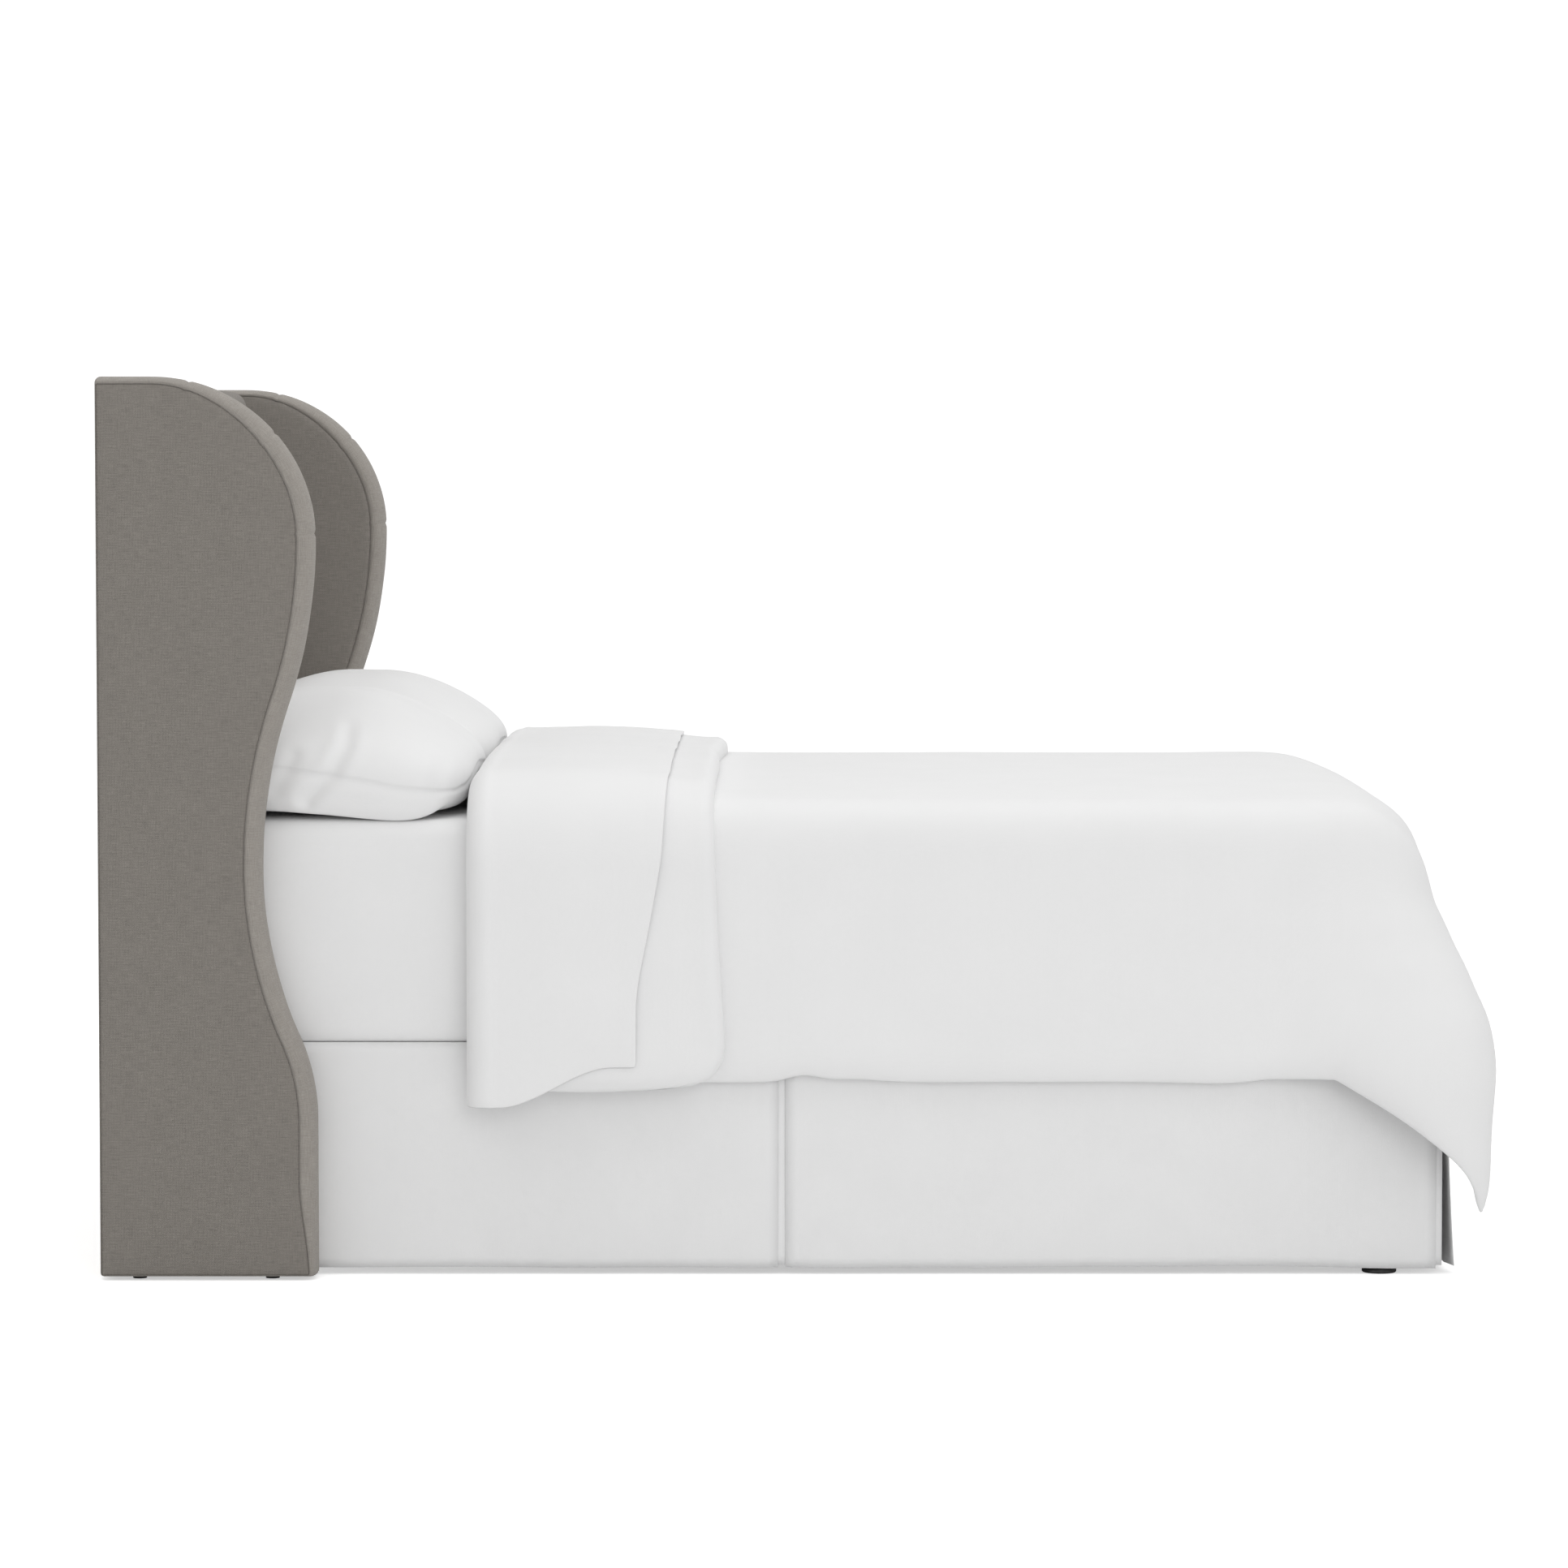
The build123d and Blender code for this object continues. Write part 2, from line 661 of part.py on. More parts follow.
spring_half = core_half - edge_foam
spring_depths = (core_start + edge_foam, core_end - edge_foam)
with BuildPart() as mattress_springs:
    slab((-spring_half, spring_half), spring_depths, (core_bottom, spring_top))
save(mattress_springs, "mattress_spring_unit")

with BuildPart() as mattress_edge:
    for sign in (-1, 1):
        slab((sign * spring_half, sign * core_half), (core_start, core_end), (core_bottom, spring_top))
    for depths in ((core_start, spring_depths[0]), (spring_depths[1], core_end)):
        slab((-spring_half, spring_half), depths, (core_bottom, spring_top))
    add(core_shape, mode=Mode.INTERSECT)
save(mattress_edge, "mattress_edge_foam")

with BuildPart() as mattress_ticking:
    add(ticking_shape)
    add(core_shape, mode=Mode.SUBTRACT)
save(mattress_ticking, "mattress_ticking")

with BuildPart() as fitted_sheet:
    add(sheet_shape)
    add(ticking_shape, mode=Mode.SUBTRACT)
save(fitted_sheet, "fitted_sheet")

# Duvet, folded back over itself near the pillows, and the two pillows

duvet_top = sheet_top + duvet_thick
duvet_half = sheet_half + duvet_side


def duvet_face(inset, corner_radius):
    """The duvet's side view with its top and foot moved in by inset, Y across and Z up."""
    head = y_at(duvet_start)
    foot = y_at(mattress_end + duvet_foot) + inset
    top = duvet_top - inset
    with BuildSketch(Plane.XY, mode=Mode.PRIVATE) as face:
        with BuildLine():
            Polyline(
                (head, duvet_hem),
                (head, top),
                (foot + duvet_slope, top),
                (foot, duvet_bulge_height),
                (foot, duvet_hem),
                close=True,
            )
        make_face()
        foot_corner = face.vertices().group_by(Axis.Y)[-1].sort_by(Axis.X)[0]
        fillet(foot_corner, radius=corner_radius)
    return face.sketch_local


def fold_block(extra, end):
    """The folded-back head of the bedding, grown by extra on its top, sides and head."""
    half = duvet_half + turn_down_side + extra
    with BuildPart(mode=Mode.PRIVATE) as block:
        slab((-half, half), (duvet_start - extra, end),
             (turn_down_hem, duvet_top + turn_down_thick + extra))
        fillet(block.edges().filter_by(Axis.Y).group_by(Axis.Z)[-1], radius=duvet_thick + extra)
    return block.part


with BuildPart() as duvet:
    with BuildSketch(Plane.YZ.offset(-duvet_half)):
        add(duvet_face(0, duvet_top_round))
    extrude(amount=2 * duvet_half)
    fillet(duvet.edges().filter_by(Axis.Y).group_by(Axis.Z)[-1], radius=duvet_thick)
    add(fold_block(0, turn_down_end))
    with BuildSketch(Plane.YZ.offset(-sheet_half)):
        add(duvet_face(duvet_thick, duvet_top_round - duvet_thick))
    extrude(amount=2 * sheet_half, mode=Mode.SUBTRACT)
    slab((-sheet_half, sheet_half), (duvet_start, turn_down_end), (turn_down_hem, duvet_hem),
         Mode.SUBTRACT)
    add(sheet_shape, mode=Mode.SUBTRACT)
save(duvet, "duvet")

with BuildPart() as top_sheet:
    add(fold_block(top_sheet_thick, top_sheet_end))
    add(fold_block(0, turn_down_end), mode=Mode.SUBTRACT)
    slab((-sheet_half, sheet_half), (duvet_start - top_sheet_thick, duvet_start),
         (turn_down_hem, sheet_top), Mode.SUBTRACT)
save(top_sheet, "top_sheet")

pillow_bottom = sheet_top + rest_gap
for side, sign in (("left", -1), ("right", 1)):
    with BuildPart() as pillow:
        slab((sign * pillow_gap / 2, sign * (wing_inner - pillow_side_gap)),
             (panel_depth + pillow_gap, panel_depth + pillow_gap + pillow_depth),
             (pillow_bottom, pillow_bottom + pillow_thick))
        fillet(pillow.edges(), radius=pillow_round)
    save(pillow, f"{side}_pillow")
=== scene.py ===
import math

import bmesh
import bpy
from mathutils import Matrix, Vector, noise


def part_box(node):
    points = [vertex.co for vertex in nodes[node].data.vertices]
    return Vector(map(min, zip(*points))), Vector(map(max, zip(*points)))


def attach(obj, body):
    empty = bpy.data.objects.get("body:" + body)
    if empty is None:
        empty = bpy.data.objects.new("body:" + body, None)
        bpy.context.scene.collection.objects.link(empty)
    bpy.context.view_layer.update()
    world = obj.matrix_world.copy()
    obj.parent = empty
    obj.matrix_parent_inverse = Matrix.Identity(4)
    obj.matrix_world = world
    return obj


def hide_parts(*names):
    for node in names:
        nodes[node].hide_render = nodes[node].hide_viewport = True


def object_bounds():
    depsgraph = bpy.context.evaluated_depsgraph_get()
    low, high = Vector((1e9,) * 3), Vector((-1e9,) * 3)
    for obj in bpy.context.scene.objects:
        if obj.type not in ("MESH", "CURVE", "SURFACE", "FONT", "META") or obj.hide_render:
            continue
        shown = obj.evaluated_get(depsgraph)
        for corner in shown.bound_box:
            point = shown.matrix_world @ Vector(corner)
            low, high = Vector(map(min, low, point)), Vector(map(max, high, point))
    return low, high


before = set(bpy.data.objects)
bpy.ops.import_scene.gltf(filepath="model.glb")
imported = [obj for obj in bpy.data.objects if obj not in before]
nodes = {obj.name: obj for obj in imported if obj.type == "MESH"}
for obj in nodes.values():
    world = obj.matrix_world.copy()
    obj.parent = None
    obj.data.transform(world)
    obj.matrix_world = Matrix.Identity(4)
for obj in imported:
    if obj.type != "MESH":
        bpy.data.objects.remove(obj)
cad_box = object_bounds()

# The bed in metres: +Y is the head end, -X is the left side, and the floor is Z = 0.
# A "depth" is a distance from the headboard's back towards the foot.

HEAD_Y = cad_box[1][1]


def y_at(depth):
    """The Y of a place this far from the headboard's back."""
    return HEAD_Y - depth


# Wings
WING_LOW, WING_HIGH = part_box("left_wing_cover_panels")
WING_OUTER = -WING_LOW.x
WING_INNER = -WING_HIGH.x
WING_HALF = (WING_OUTER - WING_INNER) / 2
WING_MIDDLE = (WING_OUTER + WING_INNER) / 2
WING_TOP = WING_HIGH.z
WING_BASE = WING_LOW.z
WING_DEPTH = WING_HIGH.y - WING_LOW.y
WAIST_DEPTH = 0.258
WAIST_HEIGHT = 0.652
BASE_BULGE_HEIGHT = 0.250
SHOULDER = 0.255
UPPER_TURN = 0.5
LOWER_TURN = 0.665
CORNER = 0.008
STRIP_TOP = 0.012
STRIP_FRONT = 0.028
STRIP_FOOT = 0.013
STRIP_EDGE = 0.003
CROSS_SEAM_ANGLES = (13, 49, 88)
CROSS_SEAM_DEPTH = 0.0022
CROSS_SEAM_WIDTH = 0.0035
SEAM_SINK = 0.0035
COVER_THICK = 0.0014

# Headboard panel
PANEL_LOW, PANEL_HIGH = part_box("panel_cover")
PANEL_ROUND = 0.030

# Bedding
SHEET_LOW, SHEET_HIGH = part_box("fitted_sheet")
DECK_LOW, DECK_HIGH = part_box("skirt_deck")
SKIRT_LOW, SKIRT_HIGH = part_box("left_skirt")
SHEET_HALF = SHEET_HIGH.x
SHEET_TOP = SHEET_HIGH.z
SHEET_BOTTOM = SHEET_LOW.z
SHEET_FOOT = SHEET_LOW.y
TOP_CROWN = 0.014
FOOT_ROUND = 0.105
DUVET_LOFT = 0.029
DUVET_HEAD = y_at(0.612)
DUVET_WIDTH = 2.390
DUVET_DROP = 0.392
TURN_HEAD = y_at(0.580)
TURN_FOOT = y_at(0.974)
CUFF_THICK = 0.0022


# Meshes

def add_object(bm, name, body, material, smooth=True):
    """Make the bmesh a named piece that rides on a body."""
    bm.normal_update()
    mesh = bpy.data.meshes.new(name)
    bm.to_mesh(mesh)
    bm.free()
    piece = bpy.data.objects.new(name, mesh)
    bpy.context.scene.collection.objects.link(piece)
    mesh.materials.append(material)
    mesh.polygons.foreach_set("use_smooth", [smooth] * len(mesh.polygons))
    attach(piece, body)
    return piece


def cloth_grid(columns, rows, place, flat=None, weld=0.0):
    """A grid bent into shape: place(u, v) gives each point, and flat(u, v) its metres on the cloth."""
    bm = bmesh.new()
    bmesh.ops.create_grid(bm, x_segments=columns, y_segments=rows, size=0.5)
    uv_layer = bm.loops.layers.uv.new("cloth")
    if flat is not None:
        for face in bm.faces:
            for loop in face.loops:
                loop[uv_layer].uv = flat(loop.vert.co.x + 0.5, loop.vert.co.y + 0.5)
    for vert in bm.verts:
        vert.co = Vector(place(vert.co.x + 0.5, vert.co.y + 0.5))
    if weld:
        bmesh.ops.remove_doubles(bm, verts=bm.verts, dist=weld)
    bmesh.ops.recalc_face_normals(bm, faces=bm.faces)
    return bm


def outward(bm, centre):
    """Turn the faces so that they point away from a centre inside the shape."""
    total = sum((face.calc_center_median() - centre).dot(face.normal) * face.calc_area()
                for face in bm.faces)
    if total < 0:
        bmesh.ops.reverse_faces(bm, faces=bm.faces)


def solidify(piece, thick, offset=-1.0, group="", rim=True):
    """Give a cloth its thickness; offset -1 grows it inwards from the faces, 1 outwards."""
    wall = piece.modifiers.new("thickness", "SOLIDIFY")
    wall.thickness = thick
    wall.offset = offset
    wall.use_rim = rim
    wall.use_even_offset = False
    wall.vertex_group = group
    return wall


def subdivide(piece, levels=1):
    smoother = piece.modifiers.new("subdivision", "SUBSURF")
    smoother.levels = levels
    smoother.render_levels = levels
    return smoother


def smooth_step(low, high, value):
    share = min(1.0, max(0.0, (value - low) / (high - low)))
    return share * share * (3 - 2 * share)


def mix(a, b, share):
    return a + (b - a) * share


def soft_noise(x, y, z, size, seed=0.0):
    """Smooth noise from about -1 to 1, with features this many metres across."""
    return noise.noise(Vector((x / size + seed, y / size, z / size)))


# Materials

def new_material(name):
    material = bpy.data.materials.new(name)
    material.use_nodes = True
    material.node_tree.nodes.clear()
    return material


def add_node(tree, kind, inputs, **settings):
    node = tree.nodes.new(kind)
    for key, value in settings.items():
        setattr(node, key, value)
    for key, value in inputs.items():
        if isinstance(value, bpy.types.NodeSocket):
            tree.links.new(value, node.inputs[key])
        else:
            node.inputs[key].default_value = value
    return node


def calc(tree, operation, *values, clamp=False):
    return add_node(tree, "ShaderNodeMath", dict(enumerate(values)), operation=operation,
                    use_clamp=clamp).outputs[0]


def tint(tree, factor, first, second):
    inputs = {"Factor": factor, 6: first, 7: second}
    return add_node(tree, "ShaderNodeMix", inputs, data_type="RGBA").outputs[2]


def speckle(tree, vector, scale, detail=2.0, stretch=(1, 1, 1)):
    """Noise from 0 to 1 in metres, stretched along an axis."""
    place = add_node(tree, "ShaderNodeMapping", {"Vector": vector, "Scale": stretch}).outputs[0]
    return add_node(tree, "ShaderNodeTexNoise",
                    {"Vector": place, "Scale": scale, "Detail": detail}).outputs[0]


def ramp(tree, value, low, high):
    """Spread a value so that low becomes 0 and high becomes 1."""
    inputs = {"Value": value, "From Min": low, "From Max": high}
    return add_node(tree, "ShaderNodeMapRange", inputs).outputs[0]


def make_group(name, inputs, outputs):
    group = bpy.data.node_groups.new(name, "ShaderNodeTree")
    for label, kind, value in inputs:
        socket = group.interface.new_socket(label, in_out="INPUT", socket_type=kind)
        if value is not None:
            socket.default_value = value
    for label, kind in outputs:
        group.interface.new_socket(label, in_out="OUTPUT", socket_type=kind)
    return group, group.nodes.new("NodeGroupInput").outputs, group.nodes.new("NodeGroupOutput")


def weave_group():
    """Plain weave with uneven yarns: the tone output varies from yarn to yarn, with painted shade darkening
    the gaps between yarns along their relief; Relief is the height of the yarns.
    """
    tree, given, end = make_group(
        "plain_weave",
        (("Vector", "NodeSocketVector", None), ("Yarns", "NodeSocketFloat", 500.0),
         ("Slubs", "NodeSocketFloat", 0.5)),
        (("Tone", "NodeSocketFloat"), ("Relief", "NodeSocketFloat")))
    split = add_node(tree, "ShaderNodeSeparateXYZ", {0: given["Vector"]}).outputs
    wobble = speckle(tree, given["Vector"], 90.0, 1.0)
    drift = calc(tree, "MULTIPLY", calc(tree, "SUBTRACT", wobble, 0.5), 0.0012)
    across = calc(tree, "MULTIPLY", calc(tree, "ADD", split[0], drift), given["Yarns"])
    along = calc(tree, "MULTIPLY", calc(tree, "ADD", split[1], drift), given["Yarns"])
    warp = calc(tree, "ABSOLUTE", calc(tree, "SINE", calc(tree, "MULTIPLY", across, math.pi)))
    weft = calc(tree, "ABSOLUTE", calc(tree, "SINE", calc(tree, "MULTIPLY", along, math.pi)))
    parity = calc(tree, "ADD", calc(tree, "FLOOR", across), calc(tree, "FLOOR", along))
    over = calc(tree, "MODULO", calc(tree, "ABSOLUTE", parity), 2.0)
    under = calc(tree, "SUBTRACT", 1.0, over)
    relief = calc(tree, "ADD", calc(tree, "MULTIPLY", warp, over), calc(tree, "MULTIPLY", weft, under))
    weft_slub = speckle(tree, given["Vector"], 1.0, 2.0, (45, 900, 1))
    warp_slub = speckle(tree, given["Vector"], 1.0, 2.0, (900, 45, 1))
    slub = calc(tree, "ADD", calc(tree, "MULTIPLY", weft_slub, 0.6), calc(tree, "MULTIPLY", warp_slub, 0.4))
    slub = ramp(tree, slub, 0.3, 0.7)
    fleck = speckle(tree, given["Vector"], 420.0, 2.0)
    # painted shade: the yarns' relief is mixed into the tone, so the gaps between yarns are painted darker;
    # the slubs and flecks are the yarns' own tone
    tone = calc(tree, "ADD", calc(tree, "MULTIPLY", slub, given["Slubs"]),
                calc(tree, "MULTIPLY", relief, calc(tree, "SUBTRACT", 1.0, given["Slubs"])))
    tone = calc(tree, "ADD", calc(tree, "MULTIPLY", tone, 0.75), calc(tree, "MULTIPLY", fleck, 0.25))
    tree.links.new(tone, end.inputs["Tone"])
    tree.links.new(calc(tree, "ADD", relief, calc(tree, "MULTIPLY", slub, 0.6)), end.inputs["Relief"])
    return tree


def place_group(tree, group, inputs):
    node = tree.nodes.new("ShaderNodeGroup")
    node.node_tree = group
    for key, value in inputs.items():
        if isinstance(value, bpy.types.NodeSocket):
            tree.links.new(value, node.inputs[key])
        else:
            node.inputs[key].default_value = value
    return node.outputs


def surface(material, inputs, height=None, depth=0.001, strength=1.0):
    """Close the material with one shader, and a bump where a height is given."""
    tree = material.node_tree
    if height is not None:
        bump = add_node(tree, "ShaderNodeBump", {"Height": height, "Distance": depth, "Strength": strength})
        inputs["Normal"] = bump.outputs[0]
    shader = add_node(tree, "ShaderNodeBsdfPrincipled", inputs)
    add_node(tree, "ShaderNodeOutputMaterial", {"Surface": shader.outputs[0]})
    return material


def coordinates(tree, use_uv=False):
    if use_uv:
        return add_node(tree, "ShaderNodeUVMap", {}, uv_map="cloth").outputs[0]
    return add_node(tree, "ShaderNodeTexCoord", {}).outputs["Object"]


def linen(name, shade, use_uv=True):
    """Slubbed upholstery linen."""
    material = new_material(name)
    tree = material.node_tree
    place = coordinates(tree, use_uv)
    weave = place_group(tree, weave_group_tree, {"Vector": place, "Yarns": 560.0, "Slubs": 0.55})
    patches = speckle(tree, place, 14.0, 3.0)
    dark = tuple(c * 0.60 for c in shade) + (1,)
    light = tuple(c * 1.34 for c in shade) + (1,)
    # the weave's tone is partly the yarns' own tone and partly painted shade in the gaps between yarns
    tone = calc(tree, "ADD", calc(tree, "MULTIPLY", weave["Tone"], 0.92),
                calc(tree, "MULTIPLY", patches, 0.08))
    colour = tint(tree, ramp(tree, tone, 0.18, 0.86), dark, light)
    inputs = {"Base Color": colour, "Roughness": 0.92, "Sheen Weight": 0.12, "Sheen Roughness": 0.5,
              "Specular IOR Level": 0.2}
    return surface(material, inputs, weave["Relief"], 0.0006, 0.55)


def cotton(name, shade, yarns=1500.0, relief=0.00012, rumple=0.0, use_uv=False):
    """Fine woven cotton, with a trace of creasing where rumple is above nothing."""
    material = new_material(name)
    tree = material.node_tree
    place = coordinates(tree, use_uv)
    weave = place_group(tree, weave_group_tree, {"Vector": place, "Yarns": yarns, "Slubs": 0.35})
    patches = speckle(tree, place, 9.0, 4.0)
    low = tuple(c * 0.972 for c in shade) + (1,)
    high = tuple(min(0.98, c * 1.01) for c in shade) + (1,)
    # the weave's tone is partly the yarns' own tone and partly painted shade in the gaps between yarns
    tone = calc(tree, "ADD", calc(tree, "MULTIPLY", weave["Tone"], 0.45),
                calc(tree, "MULTIPLY", patches, 0.55))
    colour = tint(tree, ramp(tree, tone, 0.2, 0.8), low, high)
    height = weave["Relief"]
    if rumple:
        crease = speckle(tree, place, 11.0, 3.0)
        height = calc(tree, "ADD", calc(tree, "MULTIPLY", height, relief),
                      calc(tree, "MULTIPLY", crease, rumple))
    else:
        height = calc(tree, "MULTIPLY", height, relief)
    inputs = {"Base Color": colour, "Roughness": 0.82, "Sheen Weight": 0.08, "Sheen Roughness": 0.4,
              "Specular IOR Level": 0.25}
    return surface(material, inputs, height, 1.0, 1.0)


def timber(name, pale, dark, along, rings=38.0):
    """Sawn wood with its grain along one axis, 0 for X, 1 for Y and 2 for Z."""
    material = new_material(name)
    tree = material.node_tree
    place = coordinates(tree)
    stretch = [1.0, 1.0, 1.0]
    stretch[along] = 0.06
    grain = speckle(tree, place, rings, 3.0, stretch)
    bands = calc(tree, "FRACT", calc(tree, "MULTIPLY", grain, 9.0))
    pores = speckle(tree, place, 420.0, 2.0, stretch)
    tone = calc(tree, "ADD", calc(tree, "MULTIPLY", bands, 0.6), calc(tree, "MULTIPLY", pores, 0.4))
    colour = tint(tree, tone, pale + (1,), dark + (1,))
    rough = calc(tree, "ADD", 0.62, calc(tree, "MULTIPLY", pores, 0.2))
    return surface(material, {"Base Color": colour, "Roughness": rough}, tone, 0.0006, 0.5)


def coated_steel(name, shade):
    """Powder-coated steel with a faint orange peel."""
    material = new_material(name)
    tree = material.node_tree
    place = coordinates(tree)
    peel = speckle(tree, place, 700.0, 2.0)
    dust = speckle(tree, place, 16.0, 4.0)
    colour = tint(tree, ramp(tree, dust, 0.35, 0.75), shade + (1,), tuple(c * 1.7 for c in shade) + (1,))
    rough = calc(tree, "ADD", 0.36, calc(tree, "MULTIPLY", dust, 0.22))
    return surface(material, {"Base Color": colour, "Roughness": rough}, peel, 0.0002, 0.35)


def zinc(name):
    """Zinc-plated fasteners."""
    material = new_material(name)
    tree = material.node_tree
    place = coordinates(tree)
    spangle = speckle(tree, place, 260.0, 3.0)
    colour = tint(tree, spangle, (0.42, 0.42, 0.40, 1), (0.68, 0.67, 0.62, 1))
    rough = calc(tree, "ADD", 0.26, calc(tree, "MULTIPLY", spangle, 0.22))
    return surface(material, {"Base Color": colour, "Metallic": 1.0, "Roughness": rough},
                   spangle, 0.0002, 0.2)


def moulded_plastic(name, shade):
    """Moulded plastic with a fine spark texture and scuffs."""
    material = new_material(name)
    tree = material.node_tree
    place = coordinates(tree)
    grit = speckle(tree, place, 1400.0, 2.0)
    scuff = speckle(tree, place, 40.0, 4.0, (1, 5, 1))
    colour = tint(tree, ramp(tree, scuff, 0.45, 0.8), shade + (1,), tuple(c * 2.2 for c in shade) + (1,))
    rough = calc(tree, "ADD", 0.42, calc(tree, "MULTIPLY", scuff, 0.2))
    return surface(material, {"Base Color": colour, "Roughness": rough}, grit, 0.0002, 0.4)


def open_foam(name, shade):
    """Cut polyurethane foam."""
    material = new_material(name)
    tree = material.node_tree
    place = coordinates(tree)
    cells = add_node(tree, "ShaderNodeTexVoronoi", {"Vector": place, "Scale": 520.0}).outputs[0]
    tone = speckle(tree, place, 18.0, 3.0)
    colour = tint(tree, tone, tuple(c * 0.85 for c in shade) + (1,), shade + (1,))
    return surface(material, {"Base Color": colour, "Roughness": 0.95}, cells, 0.0012, 0.7)


def lining(name, shade):
    """Spun non-woven lining cloth with its bonded dots."""
    material = new_material(name)
    tree = material.node_tree
    place = coordinates(tree)
    dots = add_node(tree, "ShaderNodeTexVoronoi",
                    {"Vector": place, "Scale": 330.0, "Randomness": 0.15}).outputs[0]
    fibre = speckle(tree, place, 240.0, 4.0)
    tone = calc(tree, "ADD", calc(tree, "MULTIPLY", ramp(tree, dots, 0.1, 0.5), 0.5),
                calc(tree, "MULTIPLY", fibre, 0.5))
    colour = tint(tree, tone, tuple(c * 0.7 for c in shade) + (1,), tuple(c * 1.4 for c in shade) + (1,))
    return surface(material, {"Base Color": colour, "Roughness": 0.9}, tone, 0.0004, 0.5)


weave_group_tree = weave_group()
LINEN_SHADE = (0.240, 0.221, 0.199)
# painted light: the boxing strip is the same linen as the side panels, given a lighter colour to stand in
# for how light falls on the wing's rounded edge
STRIP_PAINTED_LIGHT_SHADE = (0.345, 0.320, 0.291)
WHITE = (0.86, 0.86, 0.86)
panel_linen = linen("side_panel_linen", LINEN_SHADE)
painted_light_strip_linen = linen("boxing_strip_linen_painted_light", STRIP_PAINTED_LIGHT_SHADE)
front_linen = linen("headboard_front_linen", LINEN_SHADE)
duvet_cotton = cotton("duvet_sateen", WHITE, yarns=1600.0, relief=0.00004)
pillow_cotton = cotton("pillow_sateen", WHITE, yarns=1600.0, relief=0.00004)
sheet_cotton = cotton("fitted_sheet_percale", WHITE, yarns=1300.0, relief=0.00005)
cuff_cotton = cotton("top_sheet_percale", WHITE, yarns=1300.0, relief=0.00005, rumple=0.0003)
skirt_cotton = cotton("skirt_twill", (0.85, 0.85, 0.85), yarns=1100.0, relief=0.00008, rumple=0.0004)


# Wings

def arc_points(centre, start, end, count):
    """Points along an arc, with the outward normal at each, not counting the last point."""
    radius = math.dist(centre, start)
    first = math.atan2(start[1] - centre[1], start[0] - centre[0])
    last = math.atan2(end[1] - centre[1], end[0] - centre[0])
    while last - first > math.pi:
        last -= 2 * math.pi
    while first - last > math.pi:
        last += 2 * math.pi
    facing = 1 if centre[0] <= start[0] else -1
    found = []
    for step in range(count):
        turn = mix(first, last, step / count)
        ray = (math.cos(turn), math.sin(turn))
        point = (centre[0] + radius * ray[0], centre[1] + radius * ray[1])
        found.append((point, (facing * ray[0], facing * ray[1])))
    return found


def bend_points(start, end, share, count):
    """An S-bend of two arcs, upright at both of its ends."""
    turn = (mix(start[0], end[0], share), mix(start[1], end[1], share))
    found = []
    for fixed, pair, steps in ((start, (start, turn), share), (end, (turn, end), 1 - share)):
        other = turn
        reach = ((other[0] - fixed[0]) ** 2 + (other[1] - fixed[1]) ** 2) / (2 * (other[0] - fixed[0]))
        found += arc_points((fixed[0] + reach, fixed[1]), pair[0], pair[1], round(count * steps))
    return found


def wing_front_line():
    """The wing's edge from the top straight to the foot straight: (point, normal), in depth and height."""
    bulge = (WING_DEPTH, WING_TOP - SHOULDER)
    shoulder_start = (WING_DEPTH - SHOULDER, WING_TOP)
    line = []
    for turn in range(132):
        angle = math.radians(90 * turn / 132)
        ray = (math.sin(angle), math.cos(angle))
        point = (shoulder_start[0] + SHOULDER * ray[0], bulge[1] + SHOULDER * ray[1])
        line.append((point, ray))
    waist = (WAIST_DEPTH, WAIST_HEIGHT)
    line += bend_points(bulge, waist, UPPER_TURN, 72)
    line += bend_points(waist, (WING_DEPTH, BASE_BULGE_HEIGHT), LOWER_TURN, 56)
    return line


FRONT_LINE = wing_front_line()
BACK_STEPS = 48
TOP_STEPS = 12
FOOT_STEPS = 24
BASE_STEPS = 24
CORNER_STEPS = 5


def strip_width(point, normal):
    """How far the boxing strip turns onto the side panel at this place of the edge."""
    upper = mix(STRIP_TOP, STRIP_FRONT, smooth_step(0.0, 0.9, abs(normal[0])))
    return mix(STRIP_FOOT, upper, smooth_step(WING_BASE, 0.16, point[1]))


def corner_points(centre, radius, first_angle):
    """A quarter turn clockwise seen from the left side, with depth to the right."""
    found = []
    for step in range(CORNER_STEPS):
        angle = math.radians(first_angle - 90 * step / CORNER_STEPS)
        found.append((centre[0] + radius * math.cos(angle), centre[1] + radius * math.sin(angle)))
    return found


